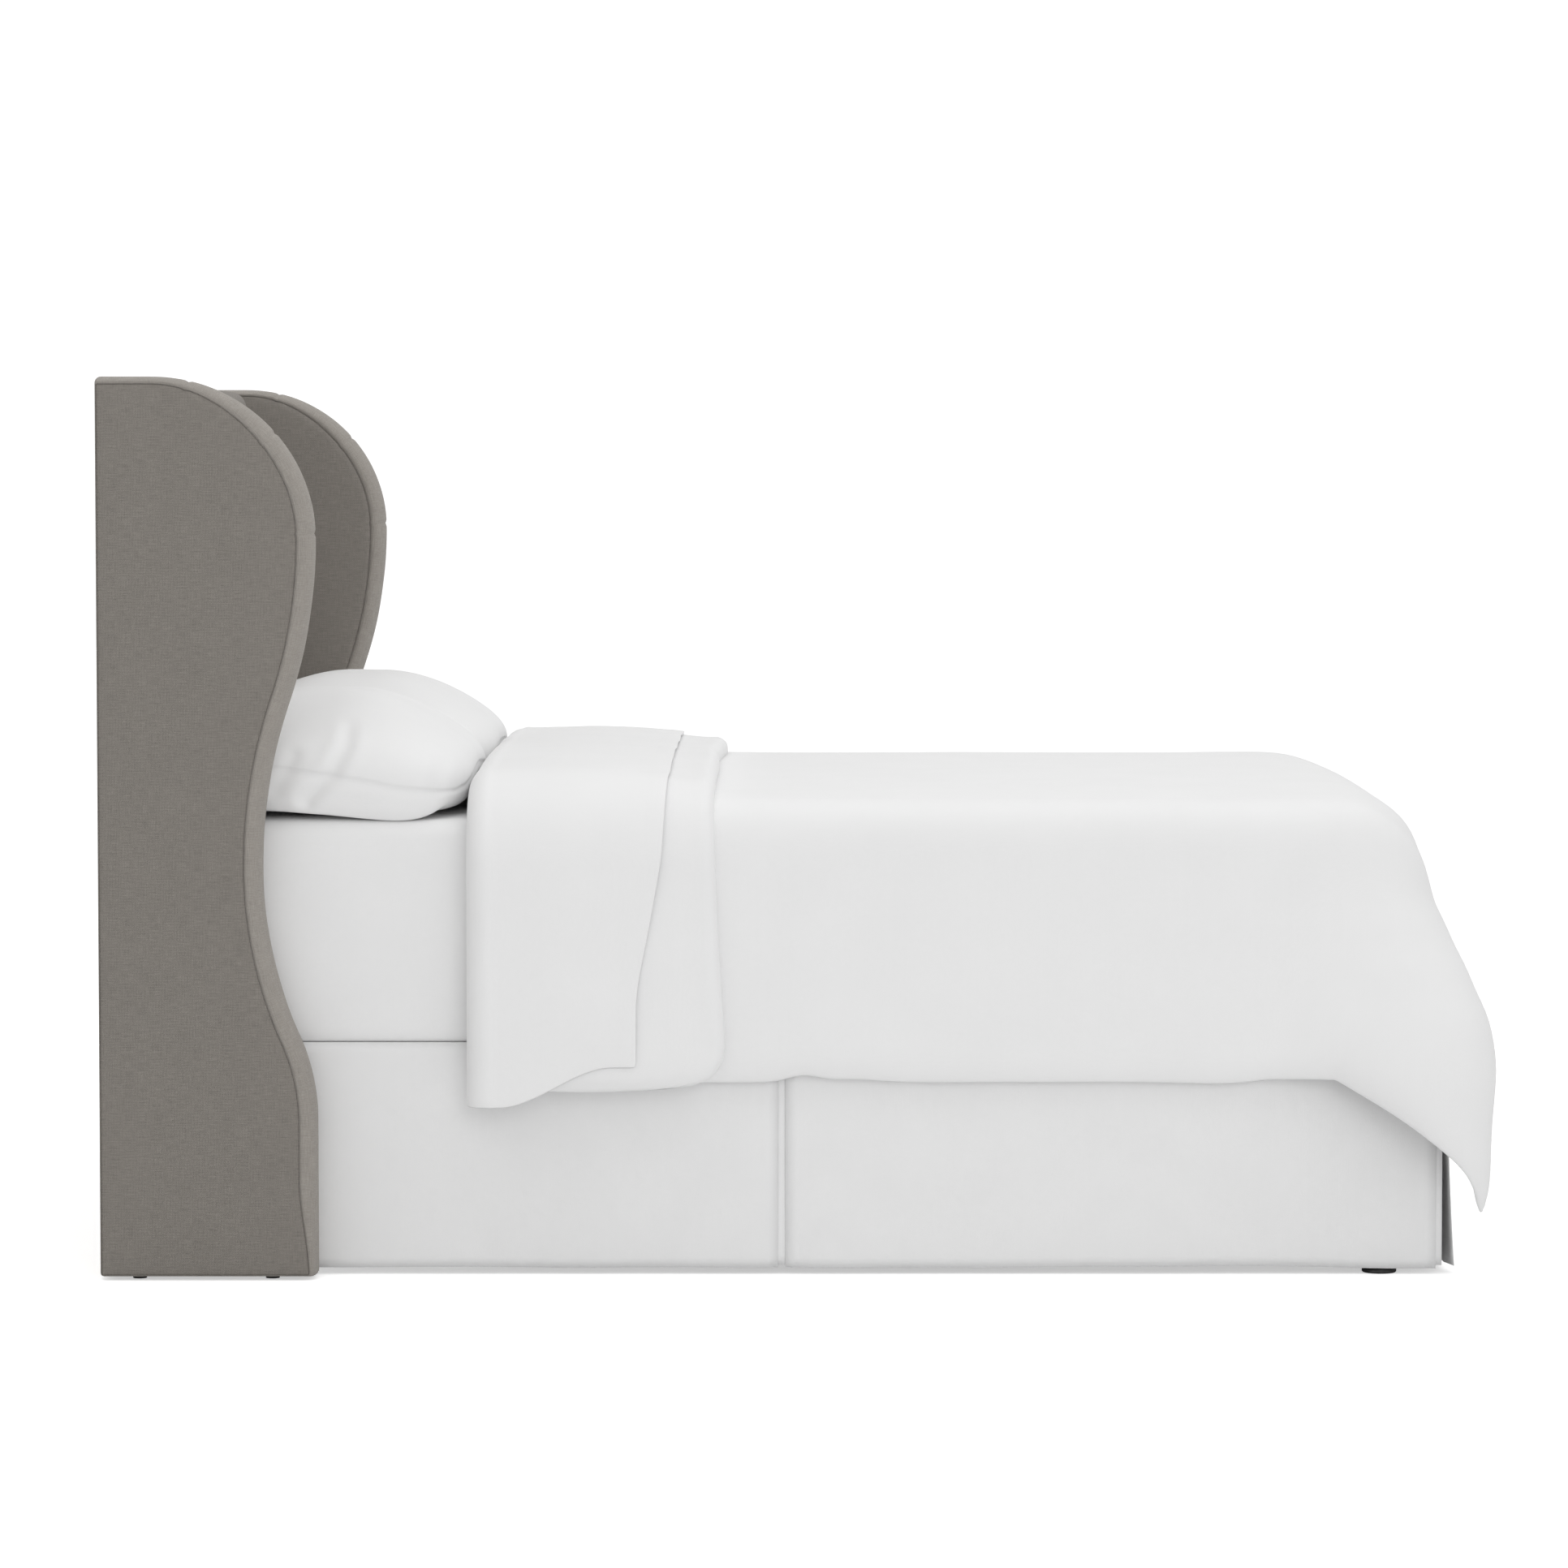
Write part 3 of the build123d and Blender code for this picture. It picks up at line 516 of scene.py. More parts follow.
def wing_loop(share, inset=0.0, puff=0.0):
    """One loop of the wing: share 0 is its silhouette, 1 the seam line, and inset goes on into the panel."""
    edge = share * STRIP_EDGE + inset
    top = share * STRIP_TOP + inset
    foot = share * STRIP_FOOT + inset
    radius = max(0.0015, CORNER - share * 0.005 - inset)
    points = []
    for step in range(BACK_STEPS):
        height = mix(WING_BASE + edge + radius, WING_TOP - top - radius, step / BACK_STEPS)
        points.append((edge, height))
    points += corner_points((edge + radius, WING_TOP - top - radius), radius, 180)
    for step in range(TOP_STEPS):
        points.append((mix(edge + radius, WING_DEPTH - SHOULDER, step / TOP_STEPS), WING_TOP - top))
    for index, (point, normal) in enumerate(FRONT_LINE):
        width = share * strip_width(point, normal) + inset
        angle = math.degrees(math.atan2(point[0] - (WING_DEPTH - SHOULDER),
                                        point[1] - (WING_TOP - SHOULDER)))
        if point[1] > WING_TOP - SHOULDER - 0.06:
            for seam in CROSS_SEAM_ANGLES:
                gap = math.radians(angle - seam) * SHOULDER / CROSS_SEAM_WIDTH
                width += (1 - share * 0.4) * CROSS_SEAM_DEPTH * math.exp(-gap * gap) * (inset < 0.002)
        width -= puff * 0.0008 * soft_noise(point[0], point[1], 0.0, 0.09)
        points.append((point[0] - normal[0] * width, point[1] - normal[1] * width))
    for step in range(FOOT_STEPS):
        height = mix(BASE_BULGE_HEIGHT, WING_BASE + edge + radius, step / FOOT_STEPS)
        width = share * strip_width((WING_DEPTH, height), (1, 0)) + inset
        points.append((WING_DEPTH - width, height))
    points += corner_points((WING_DEPTH - foot - radius, WING_BASE + edge + radius), radius, 0)
    for step in range(BASE_STEPS):
        points.append((mix(WING_DEPTH - foot - radius, edge + radius, step / BASE_STEPS), WING_BASE + edge))
    points += corner_points((edge + radius, WING_BASE + edge + radius), radius, 270)
    return points


def loop_lengths(loop):
    """Distance along a closed loop up to each of its points."""
    total = [0.0]
    for first, second in zip(loop, loop[1:] + loop[:1]):
        total.append(total[-1] + math.dist(first, second))
    return total


STRIP_ROWS = 18


def wing_strip(side, sign):
    """The boxing strip, which rolls round the wing's edge from the outer seam to the inner one."""
    loops = []
    for row in range(STRIP_ROWS + 1):
        angle = math.pi * (row / STRIP_ROWS - 0.5)
        roll = abs(math.cos(angle)) ** 0.8
        across = math.copysign(abs(math.sin(angle)) ** 0.92, angle)
        tuck = max(0.0, 1 - min(row, STRIP_ROWS - row) / 1.0)
        x = WING_MIDDLE - across * (WING_HALF - tuck * SEAM_SINK)
        loops.append((x, wing_loop(1 - roll, tuck * 0.0006, puff=roll)))
    count = len(loops[0][1])
    lengths = loop_lengths(loops[STRIP_ROWS // 2][1])

    def place(u, v):
        x, loop = loops[round(v * STRIP_ROWS)]
        depth, height = loop[round(u * count) % count]
        return (sign * x, y_at(depth), height)

    def flat(u, v):
        return (lengths[round(u * count)], v * 0.115)

    bm = cloth_grid(count, STRIP_ROWS, place, flat, weld=0.00001)
    outward(bm, Vector((sign * WING_MIDDLE, y_at(WING_DEPTH / 2), WING_TOP / 2)))
    # painted light: the strip's linen is a lighter copy of the panel linen, standing in for the light on the
    # rounded edge
    piece = add_object(bm, f"{side}_wing_boxing", "bed", painted_light_strip_linen)
    solidify(piece, COVER_THICK)
    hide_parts(f"{side}_wing_boxing_strip", f"{side}_wing_foam")
    return piece


def wing_panels(side, sign):
    """The two flat side panels of the cover, each sunk at the seam and softly crowned inside it."""
    steps = ((0.0, SEAM_SINK), (0.0012, 0.0018), (0.0035, 0.0006), (0.010, 0.0), (0.030, 0.0))
    bm = bmesh.new()
    for face_sign in (1, -1):
        part = bmesh.new()
        count = len(wing_loop(1))
        loops = [wing_loop(1, inset) for inset, _ in steps]
        sinks = [sink for _, sink in steps]
        bmesh.ops.create_grid(part, x_segments=count, y_segments=len(steps) - 1, size=0.5)
        for vert in part.verts:
            row = round((vert.co.y + 0.5) * (len(steps) - 1))
            column = round((vert.co.x + 0.5) * count) % count
            depth, height = loops[row][column]
            x = WING_MIDDLE + face_sign * (WING_HALF - sinks[row])
            vert.co = Vector((sign * x, y_at(depth), height))
        bmesh.ops.remove_doubles(part, verts=part.verts, dist=0.00001)
        level = sign * (WING_MIDDLE + face_sign * WING_HALF)
        rim = [edge for edge in part.edges if edge.is_boundary
               and abs(edge.verts[0].co.x - level) < 0.00001 and abs(edge.verts[1].co.x - level) < 0.00001]
        bmesh.ops.contextual_create(part, geom=rim)
        bmesh.ops.recalc_face_normals(part, faces=part.faces)
        outward(part, Vector((sign * WING_MIDDLE, y_at(WING_DEPTH / 2), WING_TOP / 2)))
        joined = bpy.data.meshes.new("panel")
        part.to_mesh(joined)
        part.free()
        bm.from_mesh(joined)
        bpy.data.meshes.remove(joined)
    uv_layer = bm.loops.layers.uv.new("cloth")
    for face in bm.faces:
        for loop in face.loops:
            loop[uv_layer].uv = (loop.vert.co.y, loop.vert.co.z)
    piece = add_object(bm, f"{side}_wing_panels", "bed", panel_linen)
    solidify(piece, COVER_THICK)
    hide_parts(f"{side}_wing_cover_panels")
    return piece


for side, sign in (("left", -1), ("right", 1)):
    wing_strip(side, sign)
    wing_panels(side, sign)


# Headboard panel

def panel_profile():
    """The cover's line in depth and height: under the front, over the rounded top and down the back."""
    low, high = PANEL_LOW.z, PANEL_HIGH.z
    front = HEAD_Y - PANEL_LOW.y
    back = HEAD_Y - PANEL_HIGH.y
    line = [(0.05, low), (front - 0.012, low)]
    for turn in range(5):
        angle = math.radians(-90 + 90 * turn / 4)
        line.append((front - 0.012 + 0.012 * math.cos(angle), low + 0.012 + 0.012 * math.sin(angle)))
    for step in range(1, 30):
        line.append((front, mix(low + 0.012, high - PANEL_ROUND, step / 30)))
    for turn in range(11):
        angle = math.radians(90 * turn / 10)
        line.append((front - PANEL_ROUND + PANEL_ROUND * math.cos(angle),
                     high - PANEL_ROUND + PANEL_ROUND * math.sin(angle)))
    for step in range(1, 5):
        line.append((mix(front - PANEL_ROUND, back + 0.006, step / 4), high))
    for turn in range(1, 5):
        angle = math.radians(90 + 90 * turn / 4)
        line.append((back + 0.006 + 0.006 * math.cos(angle), high - 0.006 + 0.006 * math.sin(angle)))
    line.append((back, high - 0.040))
    return line


def headboard_front():
    """The padded front of the headboard, drawn in where it meets the wings."""
    line = panel_profile()
    rows = len(line) - 1
    columns = 96
    lengths = [0.0]
    for first, second in zip(line, line[1:]):
        lengths.append(lengths[-1] + math.dist(first, second))

    def place(u, v):
        depth, height = line[round(v * rows)]
        x = (u - 0.5) * 2 * WING_INNER
        side_gap = WING_INNER - abs(x)
        pull = 0.011 * (1 - smooth_step(0.0, 0.045, side_gap))
        front = HEAD_Y - PANEL_LOW.y
        if depth > front - PANEL_ROUND * 0.6:
            depth -= pull + 0.0015 * (0.5 + 0.5 * soft_noise(x, height, 0, 0.35))
        if height > PANEL_HIGH.z - 0.012:
            height -= pull * 0.35
        return (x, y_at(depth), height)

    def flat(u, v):
        return ((u - 0.5) * 2 * WING_INNER, lengths[round(v * rows)])

    bm = cloth_grid(columns, rows, place, flat)
    outward(bm, Vector((0, y_at(0.045), 0.9)))
    piece = add_object(bm, "headboard_front", "bed", front_linen)
    solidify(piece, COVER_THICK)
    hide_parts("panel_cover", "panel_foam")


headboard_front()


# Mattress in its fitted sheet

def crown_drop(x, half):
    """How far the top of the bed lies below its middle at this X."""
    return TOP_CROWN * min(1.0, abs(x) / half) ** 3


def settle(bm, low, high):
    """Soften a mattress shape: crowned across, and rounded over at the foot and its two corners."""
    for vert in bm.verts:
        place = vert.co
        beyond_side = abs(place.x) - (high.x - FOOT_ROUND)
        beyond_foot = low.y + FOOT_ROUND - place.y
        turn = min(1.0, max(0.0, beyond_foot / FOOT_ROUND))
        if beyond_side > 0 and beyond_foot > 0:
            pull = max(beyond_side, beyond_foot) / math.hypot(beyond_side, beyond_foot)
            place.x = math.copysign(high.x - FOOT_ROUND + beyond_side * pull, place.x)
            place.y = low.y + FOOT_ROUND - beyond_foot * pull
        drop = FOOT_ROUND * 0.85 * (1 - math.sqrt(max(0.0, 1 - turn * turn))) + crown_drop(place.x, high.x)
        place.z -= drop * smooth_step(low.z, high.z, place.z)


def rounded_box(low, high, radius, bulge, spacing=0.045):
    """A crowned box with soft edges, from a cube that is cut up and pushed out."""
    bm = bmesh.new()
    bmesh.ops.create_cube(bm, size=1.0)
    size = high - low
    centre = (low + high) / 2
    bmesh.ops.scale(bm, vec=size, verts=bm.verts)
    bmesh.ops.bevel(bm, geom=bm.edges[:], offset=radius, segments=6, affect="EDGES", profile=0.5,
                    material=-1, clamp_overlap=True)
    for axis in range(3):
        normal = Vector([1.0 if index == axis else 0.0 for index in range(3)])
        reach = size[axis] / 2 - radius
        count = max(1, round(2 * reach / spacing))
        for step in range(1, count):
            cut = normal * mix(-reach, reach, step / count)
            geometry = bm.verts[:] + bm.edges[:] + bm.faces[:]
            bmesh.ops.bisect_plane(bm, geom=geometry, dist=0.00001, plane_co=cut, plane_no=normal)
    for vert in bm.verts:
        place = vert.co.copy()
        shares = [1 - min(1.0, abs(place[axis]) / (size[axis] / 2)) ** 2 for axis in range(3)]
        for axis in range(3):
            others = [shares[index] for index in range(3) if index != axis]
            push = math.copysign(1, place[axis]) * bulge[axis] * others[0] ** 0.5 * others[1] ** 0.5
            vert.co[axis] += push * smooth_step(0.5, 1.0, abs(place[axis]) / (size[axis] / 2))
    bmesh.ops.translate(bm, vec=centre, verts=bm.verts)
    bmesh.ops.recalc_face_normals(bm, faces=bm.faces)
    return bm


def fitted_sheet():
    """The fitted sheet on the mattress: full at the sides, and tucked in below."""
    inset = Vector((0.004, 0.004, 0.0015))
    bm = rounded_box(SHEET_LOW + inset, SHEET_HIGH - inset, 0.026, (0.006, 0.006, 0.003))
    settle(bm, SHEET_LOW + inset, SHEET_HIGH - inset)
    for vert in bm.verts:
        place = vert.co
        wave = 0.0016 * soft_noise(place.x, place.y, place.z, 0.22, 3.0)
        if place.z > SHEET_BOTTOM + 0.03:
            vert.co += Vector((math.copysign(wave, place.x), 0, wave * 0.5))
        elif abs(place.x) > SHEET_HALF - 0.034:
            vert.co.x = math.copysign(mix(abs(place.x), SHEET_HALF, 0.7), place.x)
    under = [face for face in bm.faces if face.normal.z < -0.9
             and face.calc_center_median().z < SHEET_BOTTOM + 0.01
             and abs(face.calc_center_median().x) < SHEET_HALF - 0.16
             and abs(face.calc_center_median().y - (SHEET_LOW.y + SHEET_HIGH.y) / 2) < 0.82]
    bmesh.ops.delete(bm, geom=under, context="FACES")
    piece = add_object(bm, "stretched_sheet", "bed", sheet_cotton)
    solidify(piece, 0.0012)
    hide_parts("fitted_sheet")
    return piece


def mattress():
    """The mattress itself: a crowned box with soft edges, rounded over at the foot."""
    inset = Vector((0.009, 0.009, 0.004))
    bm = rounded_box(SHEET_LOW + inset, SHEET_HIGH - inset, 0.022, (0.004, 0.004, 0.002), spacing=0.06)
    settle(bm, SHEET_LOW + inset, SHEET_HIGH - inset)
    piece = add_object(bm, "mattress_body", "bed", sheet_cotton)
    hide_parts("mattress_ticking", "mattress_comfort_foam", "mattress_edge_foam")
    return piece


mattress()
fitted_sheet()


# Duvet

CLOTH_STEP = 0.021
DRAPE_FRAMES = 14
DRAPE_HOLD = 0.6
ROLL_BAND = 0.075
ROLL_IN = 0.022


SIDE_BEND = 0.035
FOOT_BEND = 0.130
HANG_GAP = DUVET_LOFT / 2 + 0.001
NOSE_RADIUS = 0.052
NOSE_SHARE = 0.88
SIDE_SHARE = 0.9
CORNER_SPREAD = 0.125
CORNER_OUT = ((0.0, 0.0), (0.08, 0.0), (0.13, 0.012), (0.20, 0.034), (0.27, 0.065), (0.34, 0.093),
              (0.40, 0.101), (0.53, 0.094), (0.66, 0.090))


def corner_out(drop):
    """How far the hanging corner stands out from the bed, this far below its top."""
    for (low, first), (high, second) in zip(CORNER_OUT, CORNER_OUT[1:]):
        if drop <= high:
            return mix(first, second, smooth_step(low, high, drop))
    return CORNER_OUT[-1][1]


def hanging_corner(along, angle, drop, hem_gap):
    """One half of the corner's soft cone, in plan from the bed's corner: (along the edge, out from it)."""
    out = corner_out(drop)
    spread = CORNER_SPREAD * min(1.0, drop / 0.42)
    nose = HANG_GAP + out - NOSE_RADIUS
    share = angle / 45
    if share > NOSE_SHARE:
        turn = math.radians(45 * (share - NOSE_SHARE) / (1 - NOSE_SHARE))
        return nose + NOSE_RADIUS * math.sin(turn), nose + NOSE_RADIUS * math.cos(turn)
    if share > 0:
        place = mix(-spread, nose, (share / NOSE_SHARE) ** 1.9)
    else:
        place = along - spread * smooth_step(-0.42, 0.0, along)
    start = -(0.02 + 0.43 * drop)
    rise = min(1.0, max(0.0, (place - start) / (nose - start)))
    swell = 1 - (1 - rise) ** 2.1
    rolled = ROLL_IN * max(0.0, 1 - hem_gap / ROLL_BAND) ** 2
    rolled *= math.sin(math.pi * min(1.0, rise * 1.1)) ** 0.7
    return place, HANG_GAP + out * swell - rolled


def draped_place(x, past_foot):
    """Where a point of the duvet hangs: over the sides, the foot and the two corners."""
    side = 1 if x >= 0 else -1
    over_side = max(0.0, abs(x) - (SHEET_HALF + HANG_GAP - SIDE_BEND))
    over_foot = max(0.0, past_foot + FOOT_BEND - HANG_GAP)
    angle = math.atan2(over_foot, over_side) if over_side + over_foot > 0 else 0.0
    reach = math.hypot(over_side, over_foot)
    bend = mix(SIDE_BEND, FOOT_BEND, math.sin(angle) ** 2)
    turn = min(reach / bend, math.pi / 2)
    drop = bend * (1 - math.cos(turn)) + max(0.0, reach - bend * math.pi / 2)
    base_side = abs(x) - SHEET_HALF
    base_foot = past_foot
    if over_side > 0:
        base_side = HANG_GAP - SIDE_BEND + SIDE_BEND * math.cos(angle) * math.sin(turn)
    if over_foot > 0:
        base_foot = HANG_GAP - FOOT_BEND + FOOT_BEND * math.sin(angle) * math.sin(turn)
    top = SHEET_TOP + DUVET_LOFT / 2 + 0.003 - crown_drop(SHEET_HALF + base_side, SHEET_HALF)
    degrees = math.degrees(angle)
    overhang = DUVET_WIDTH / 2 - SHEET_HALF - HANG_GAP + SIDE_BEND
    hem = overhang / max(math.cos(angle), math.sin(angle), 0.01)
    if over_side > 0 and degrees <= 45:
        along = past_foot if over_foot == 0 else 0.0
        foot, out = hanging_corner(along, degrees, drop, hem - reach)
    elif over_foot > 0:
        along = abs(x) - SHEET_HALF if over_side == 0 else 0.0
        out, foot = hanging_corner(along, 90 - degrees, drop, hem - reach)
    else:
        foot, out = base_foot, base_side
    hanging = smooth_step(0.05, 0.20, drop)
    base_side, base_foot = mix(base_side, out, hanging), mix(base_foot, foot, hanging)
    if base_side > HANG_GAP:
        base_side = mix(HANG_GAP, base_side, SIDE_SHARE)
    sag = 0.013 * smooth_step(0.45, 0.65, drop)
    return Vector((side * (SHEET_HALF + base_side), SHEET_FOOT - base_foot, top - drop - sag))


def drape_blocks():
    """The shapes under the duvet: the mattress, and the skirted foundation below it."""
    grow = DUVET_LOFT / 2 - 0.004
    blocks = []
    spans = (
        (Vector((-SHEET_HALF - grow, SHEET_LOW.y - grow, SHEET_LOW.z)),
         Vector((SHEET_HALF + grow, SHEET_HIGH.y, SHEET_HIGH.z + grow)), 0.035),
        (Vector((-DECK_HIGH.x - grow, DECK_LOW.y - grow, 0.0)),
         Vector((DECK_HIGH.x + grow, DECK_HIGH.y, DECK_HIGH.z)), 0.012),
    )
    for low, high, radius in spans:
        bm = rounded_box(low, high, radius, (0, 0, 0), spacing=0.05)
        if high.z > SHEET_TOP:
            settle(bm, low, high)
        mesh = bpy.data.meshes.new("drape_block")
        bm.to_mesh(mesh)
        bm.free()
        block = bpy.data.objects.new("drape_block", mesh)
        bpy.context.scene.collection.objects.link(block)
        block.modifiers.new("collision", "COLLISION")
        block.collision.thickness_outer = 0.002
        block.collision.cloth_friction = 12.0
        blocks.append(block)
    return blocks


def simulate_drape(cloth, frames):
    """Let the cloth settle, and give it the settled mesh with no simulation left on it."""
    scene = bpy.context.scene
    scene.frame_start = 1
    scene.frame_end = frames
    hang = cloth.modifiers.new("drape", "CLOTH")
    settings = hang.settings
    settings.quality = 6
    settings.mass = 0.9
    settings.air_damping = 2.0
    settings.tension_stiffness = 30.0
    settings.compression_stiffness = 30.0
    settings.shear_stiffness = 12.0
    settings.bending_stiffness = 6.0
    settings.tension_damping = 15.0
    settings.compression_damping = 15.0
    settings.shear_damping = 10.0
    settings.bending_damping = 4.0
    settings.vertex_group_mass = "held"
    hang.collision_settings.collision_quality = 3
    hang.collision_settings.distance_min = 0.003
    hang.collision_settings.use_self_collision = False
    hang.point_cache.frame_start = 1
    hang.point_cache.frame_end = frames
    for step in range(1, frames + 1):
        scene.frame_set(step)
    settled = bpy.data.meshes.new_from_object(cloth.evaluated_get(bpy.context.evaluated_depsgraph_get()))
    cloth.modifiers.remove(hang)
    old = cloth.data
    cloth.data = settled
    bpy.data.meshes.remove(old)
    scene.frame_set(1)


def duvet_body():
    """The duvet from its turned-back head to the foot: shaped by draped_place, then settled."""
    length = (DUVET_HEAD - SHEET_FOOT) + DUVET_DROP
    columns = round(DUVET_WIDTH / CLOTH_STEP)
    rows = round(length / CLOTH_STEP)

    def place(u, v):
        x = (u - 0.5) * DUVET_WIDTH
        y = DUVET_HEAD - v * length
        return draped_place(x, SHEET_FOOT - y)

    def flat(u, v):
        return (u * DUVET_WIDTH, v * length)

    bm = cloth_grid(columns, rows, place, flat)
    outward(bm, Vector((0, y_at(1.3), 0.3)))
    piece = add_object(bm, "duvet_body", "bed", duvet_cotton)
    held = piece.vertex_groups.new(name="held")
    for vert in piece.data.vertices:
        at_head = vert.co.y > DUVET_HEAD - CLOTH_STEP * 1.5
        held.add([vert.index], 1.0 if at_head else DRAPE_HOLD, "REPLACE")
    blocks = drape_blocks()
    simulate_drape(piece, DRAPE_FRAMES)
    for block in blocks:
        bpy.data.objects.remove(block)
    soften_duvet(piece)
    return piece


HEM_LIFTS = ((1.109, 0.030, 0.012), (1.19, 0.05, 0.004), (1.90, 0.07, 0.012))
CORNER_CREASE = ((1.955, 0.58), (1.944, 0.54), (1.905, 0.44), (1.884, 0.365), (1.886, 0.30))

def near_line(depth, height, line):
    """Distance from a place on a side to a crease drawn as a line of points."""
    here = Vector((depth, height))
    nearest = 1.0
    for first, second in zip(line, line[1:]):
        start, end = Vector(first), Vector(second)
        run = end - start
        share = min(1.0, max(0.0, (here - start).dot(run) / run.length_squared))
        nearest = min(nearest, (here - start - run * share).length)
    return nearest


def crease_corner(vert):
    """The soft valley where the hanging corner starts to stand out from the side."""
    if abs(vert.co.x) < SHEET_HALF - 0.01:
        return
    gap = near_line(HEAD_Y - vert.co.y, vert.co.z, CORNER_CREASE) / 0.020
    vert.co.x -= math.copysign(0.0065 * math.exp(-gap * gap), vert.co.x)


def lift_hem(vert):
    """The small waves of the side hems."""
    depth = HEAD_Y - vert.co.y
    share = smooth_step(SHEET_BOTTOM + 0.16, SHEET_BOTTOM - 0.07, vert.co.z)
    for middle, spread, height in HEM_LIFTS:
        vert.co.z += share * height * math.exp(-((depth - middle) / spread) ** 2)
    vert.co.z += share * 0.004 * soft_noise(depth, math.copysign(4.0, vert.co.x), 0, 0.21)


def soften_duvet(piece):
    """Even out the draped cloth, and thin it towards the hems."""
    bm = bmesh.new()
    bm.from_mesh(piece.data)
    for turn in range(3):
        inner = [vert for vert in bm.verts if not vert.is_boundary]
        bmesh.ops.smooth_vert(bm, verts=inner, factor=0.5, use_axis_x=True, use_axis_y=True, use_axis_z=True)
    bm.normal_update()
    for vert in bm.verts:
        place = vert.co.copy()
        vert.co += vert.normal * 0.0035 * soft_noise(place.x, place.y, place.z, 0.33, 4.0)
        crease_corner(vert)
        lift_hem(vert)
    bm.to_mesh(piece.data)
    bm.free()
    loft = piece.vertex_groups.new(name="loft")
    uv = piece.data.uv_layers["cloth"].data
    width, length = DUVET_WIDTH, (DUVET_HEAD - SHEET_FOOT) + DUVET_DROP
    for polygon in piece.data.polygons:
        for loop_index in polygon.loop_indices:
            u, v = uv[loop_index].uv
            edge = min(u, width - u, length - v)
            share = min(1.0, edge / 0.05)
            full = 0.30 + 0.70 * math.sqrt(max(0.0, 1 - (1 - share) ** 2))
            vert = piece.data.loops[loop_index].vertex_index
            loft.add([vert], full, "REPLACE")
    solidify(piece, DUVET_LOFT, offset=0.0, group="loft")
    subdivide(piece, 1)


duvet_body()


# Turned-back head of the duvet, and the top sheet folded over it

def over_bed(distance, half, top, low, radius):
    """A path across the bed from the left hem, over the top, to the right hem: (x, z, normal)."""
    drop = top - radius - low
    quarter = math.pi * radius / 2
    flat = 2 * (half - radius)
    if distance <= drop:
        return (-half, low + distance, Vector((-1, 0, 0)))
    distance -= drop
    if distance <= quarter:
        angle = math.pi - distance / radius
        return (-half + radius + radius * math.cos(angle), top - radius + radius * math.sin(angle),
                Vector((math.cos(angle), 0, math.sin(angle))))
    distance -= quarter
    if distance <= flat:
        x = -half + radius + distance
        rise = crown_drop(half - radius, half) - crown_drop(x, half)
        return (x, top + rise, Vector((0, 0, 1)))
    distance -= flat
    if distance <= quarter:
        angle = math.pi / 2 - distance / radius
        return (half - radius + radius * math.cos(angle), top - radius + radius * math.sin(angle),
                Vector((math.cos(angle), 0, math.sin(angle))))
    return (half, top - radius - (distance - quarter), Vector((1, 0, 0)))


def path_length(half, top, low, radius):
    return 2 * (top - radius - low) + math.pi * radius + 2 * (half - radius)


FOLD_RADIUS = 0.055
FOLD_THICK = 0.072
BODY_TOP = DUVET_LOFT + 0.001
FOLD_LOW = 0.300
FOLD_CORNER = 0.070
CUFF_LOW = 0.272
CUFF_REACH = 0.317
CUFF_CLOTH = 0.42


def fold_section():
    """The fold's closed cross-section: (distance behind the head roll, height over the sheet)."""
    length = TURN_HEAD - TURN_FOOT
    roll = FOLD_THICK / 2
    nose = (FOLD_THICK - BODY_TOP) / 2
    points = []
    for turn in range(17):
        angle = math.radians(270 - 180 * turn / 16)
        points.append((roll + roll * math.cos(angle), roll + roll * math.sin(angle)))
    for step in range(1, 18):
        share = step / 18
        swell = 0.004 * math.sin(math.pi * share) - 0.002
        points.append((mix(roll, length - nose, share), FOLD_THICK + swell))
    for turn in range(13):
        angle = math.radians(90 - 180 * turn / 12)
        points.append((length - nose + nose * math.cos(angle), BODY_TOP + nose + nose * math.sin(angle)))
    for step in range(1, 14):
        share = step / 14
        points.append((mix(length - nose, roll + 0.02, share), BODY_TOP * smooth_step(1.0, 0.9, share)))
    return points


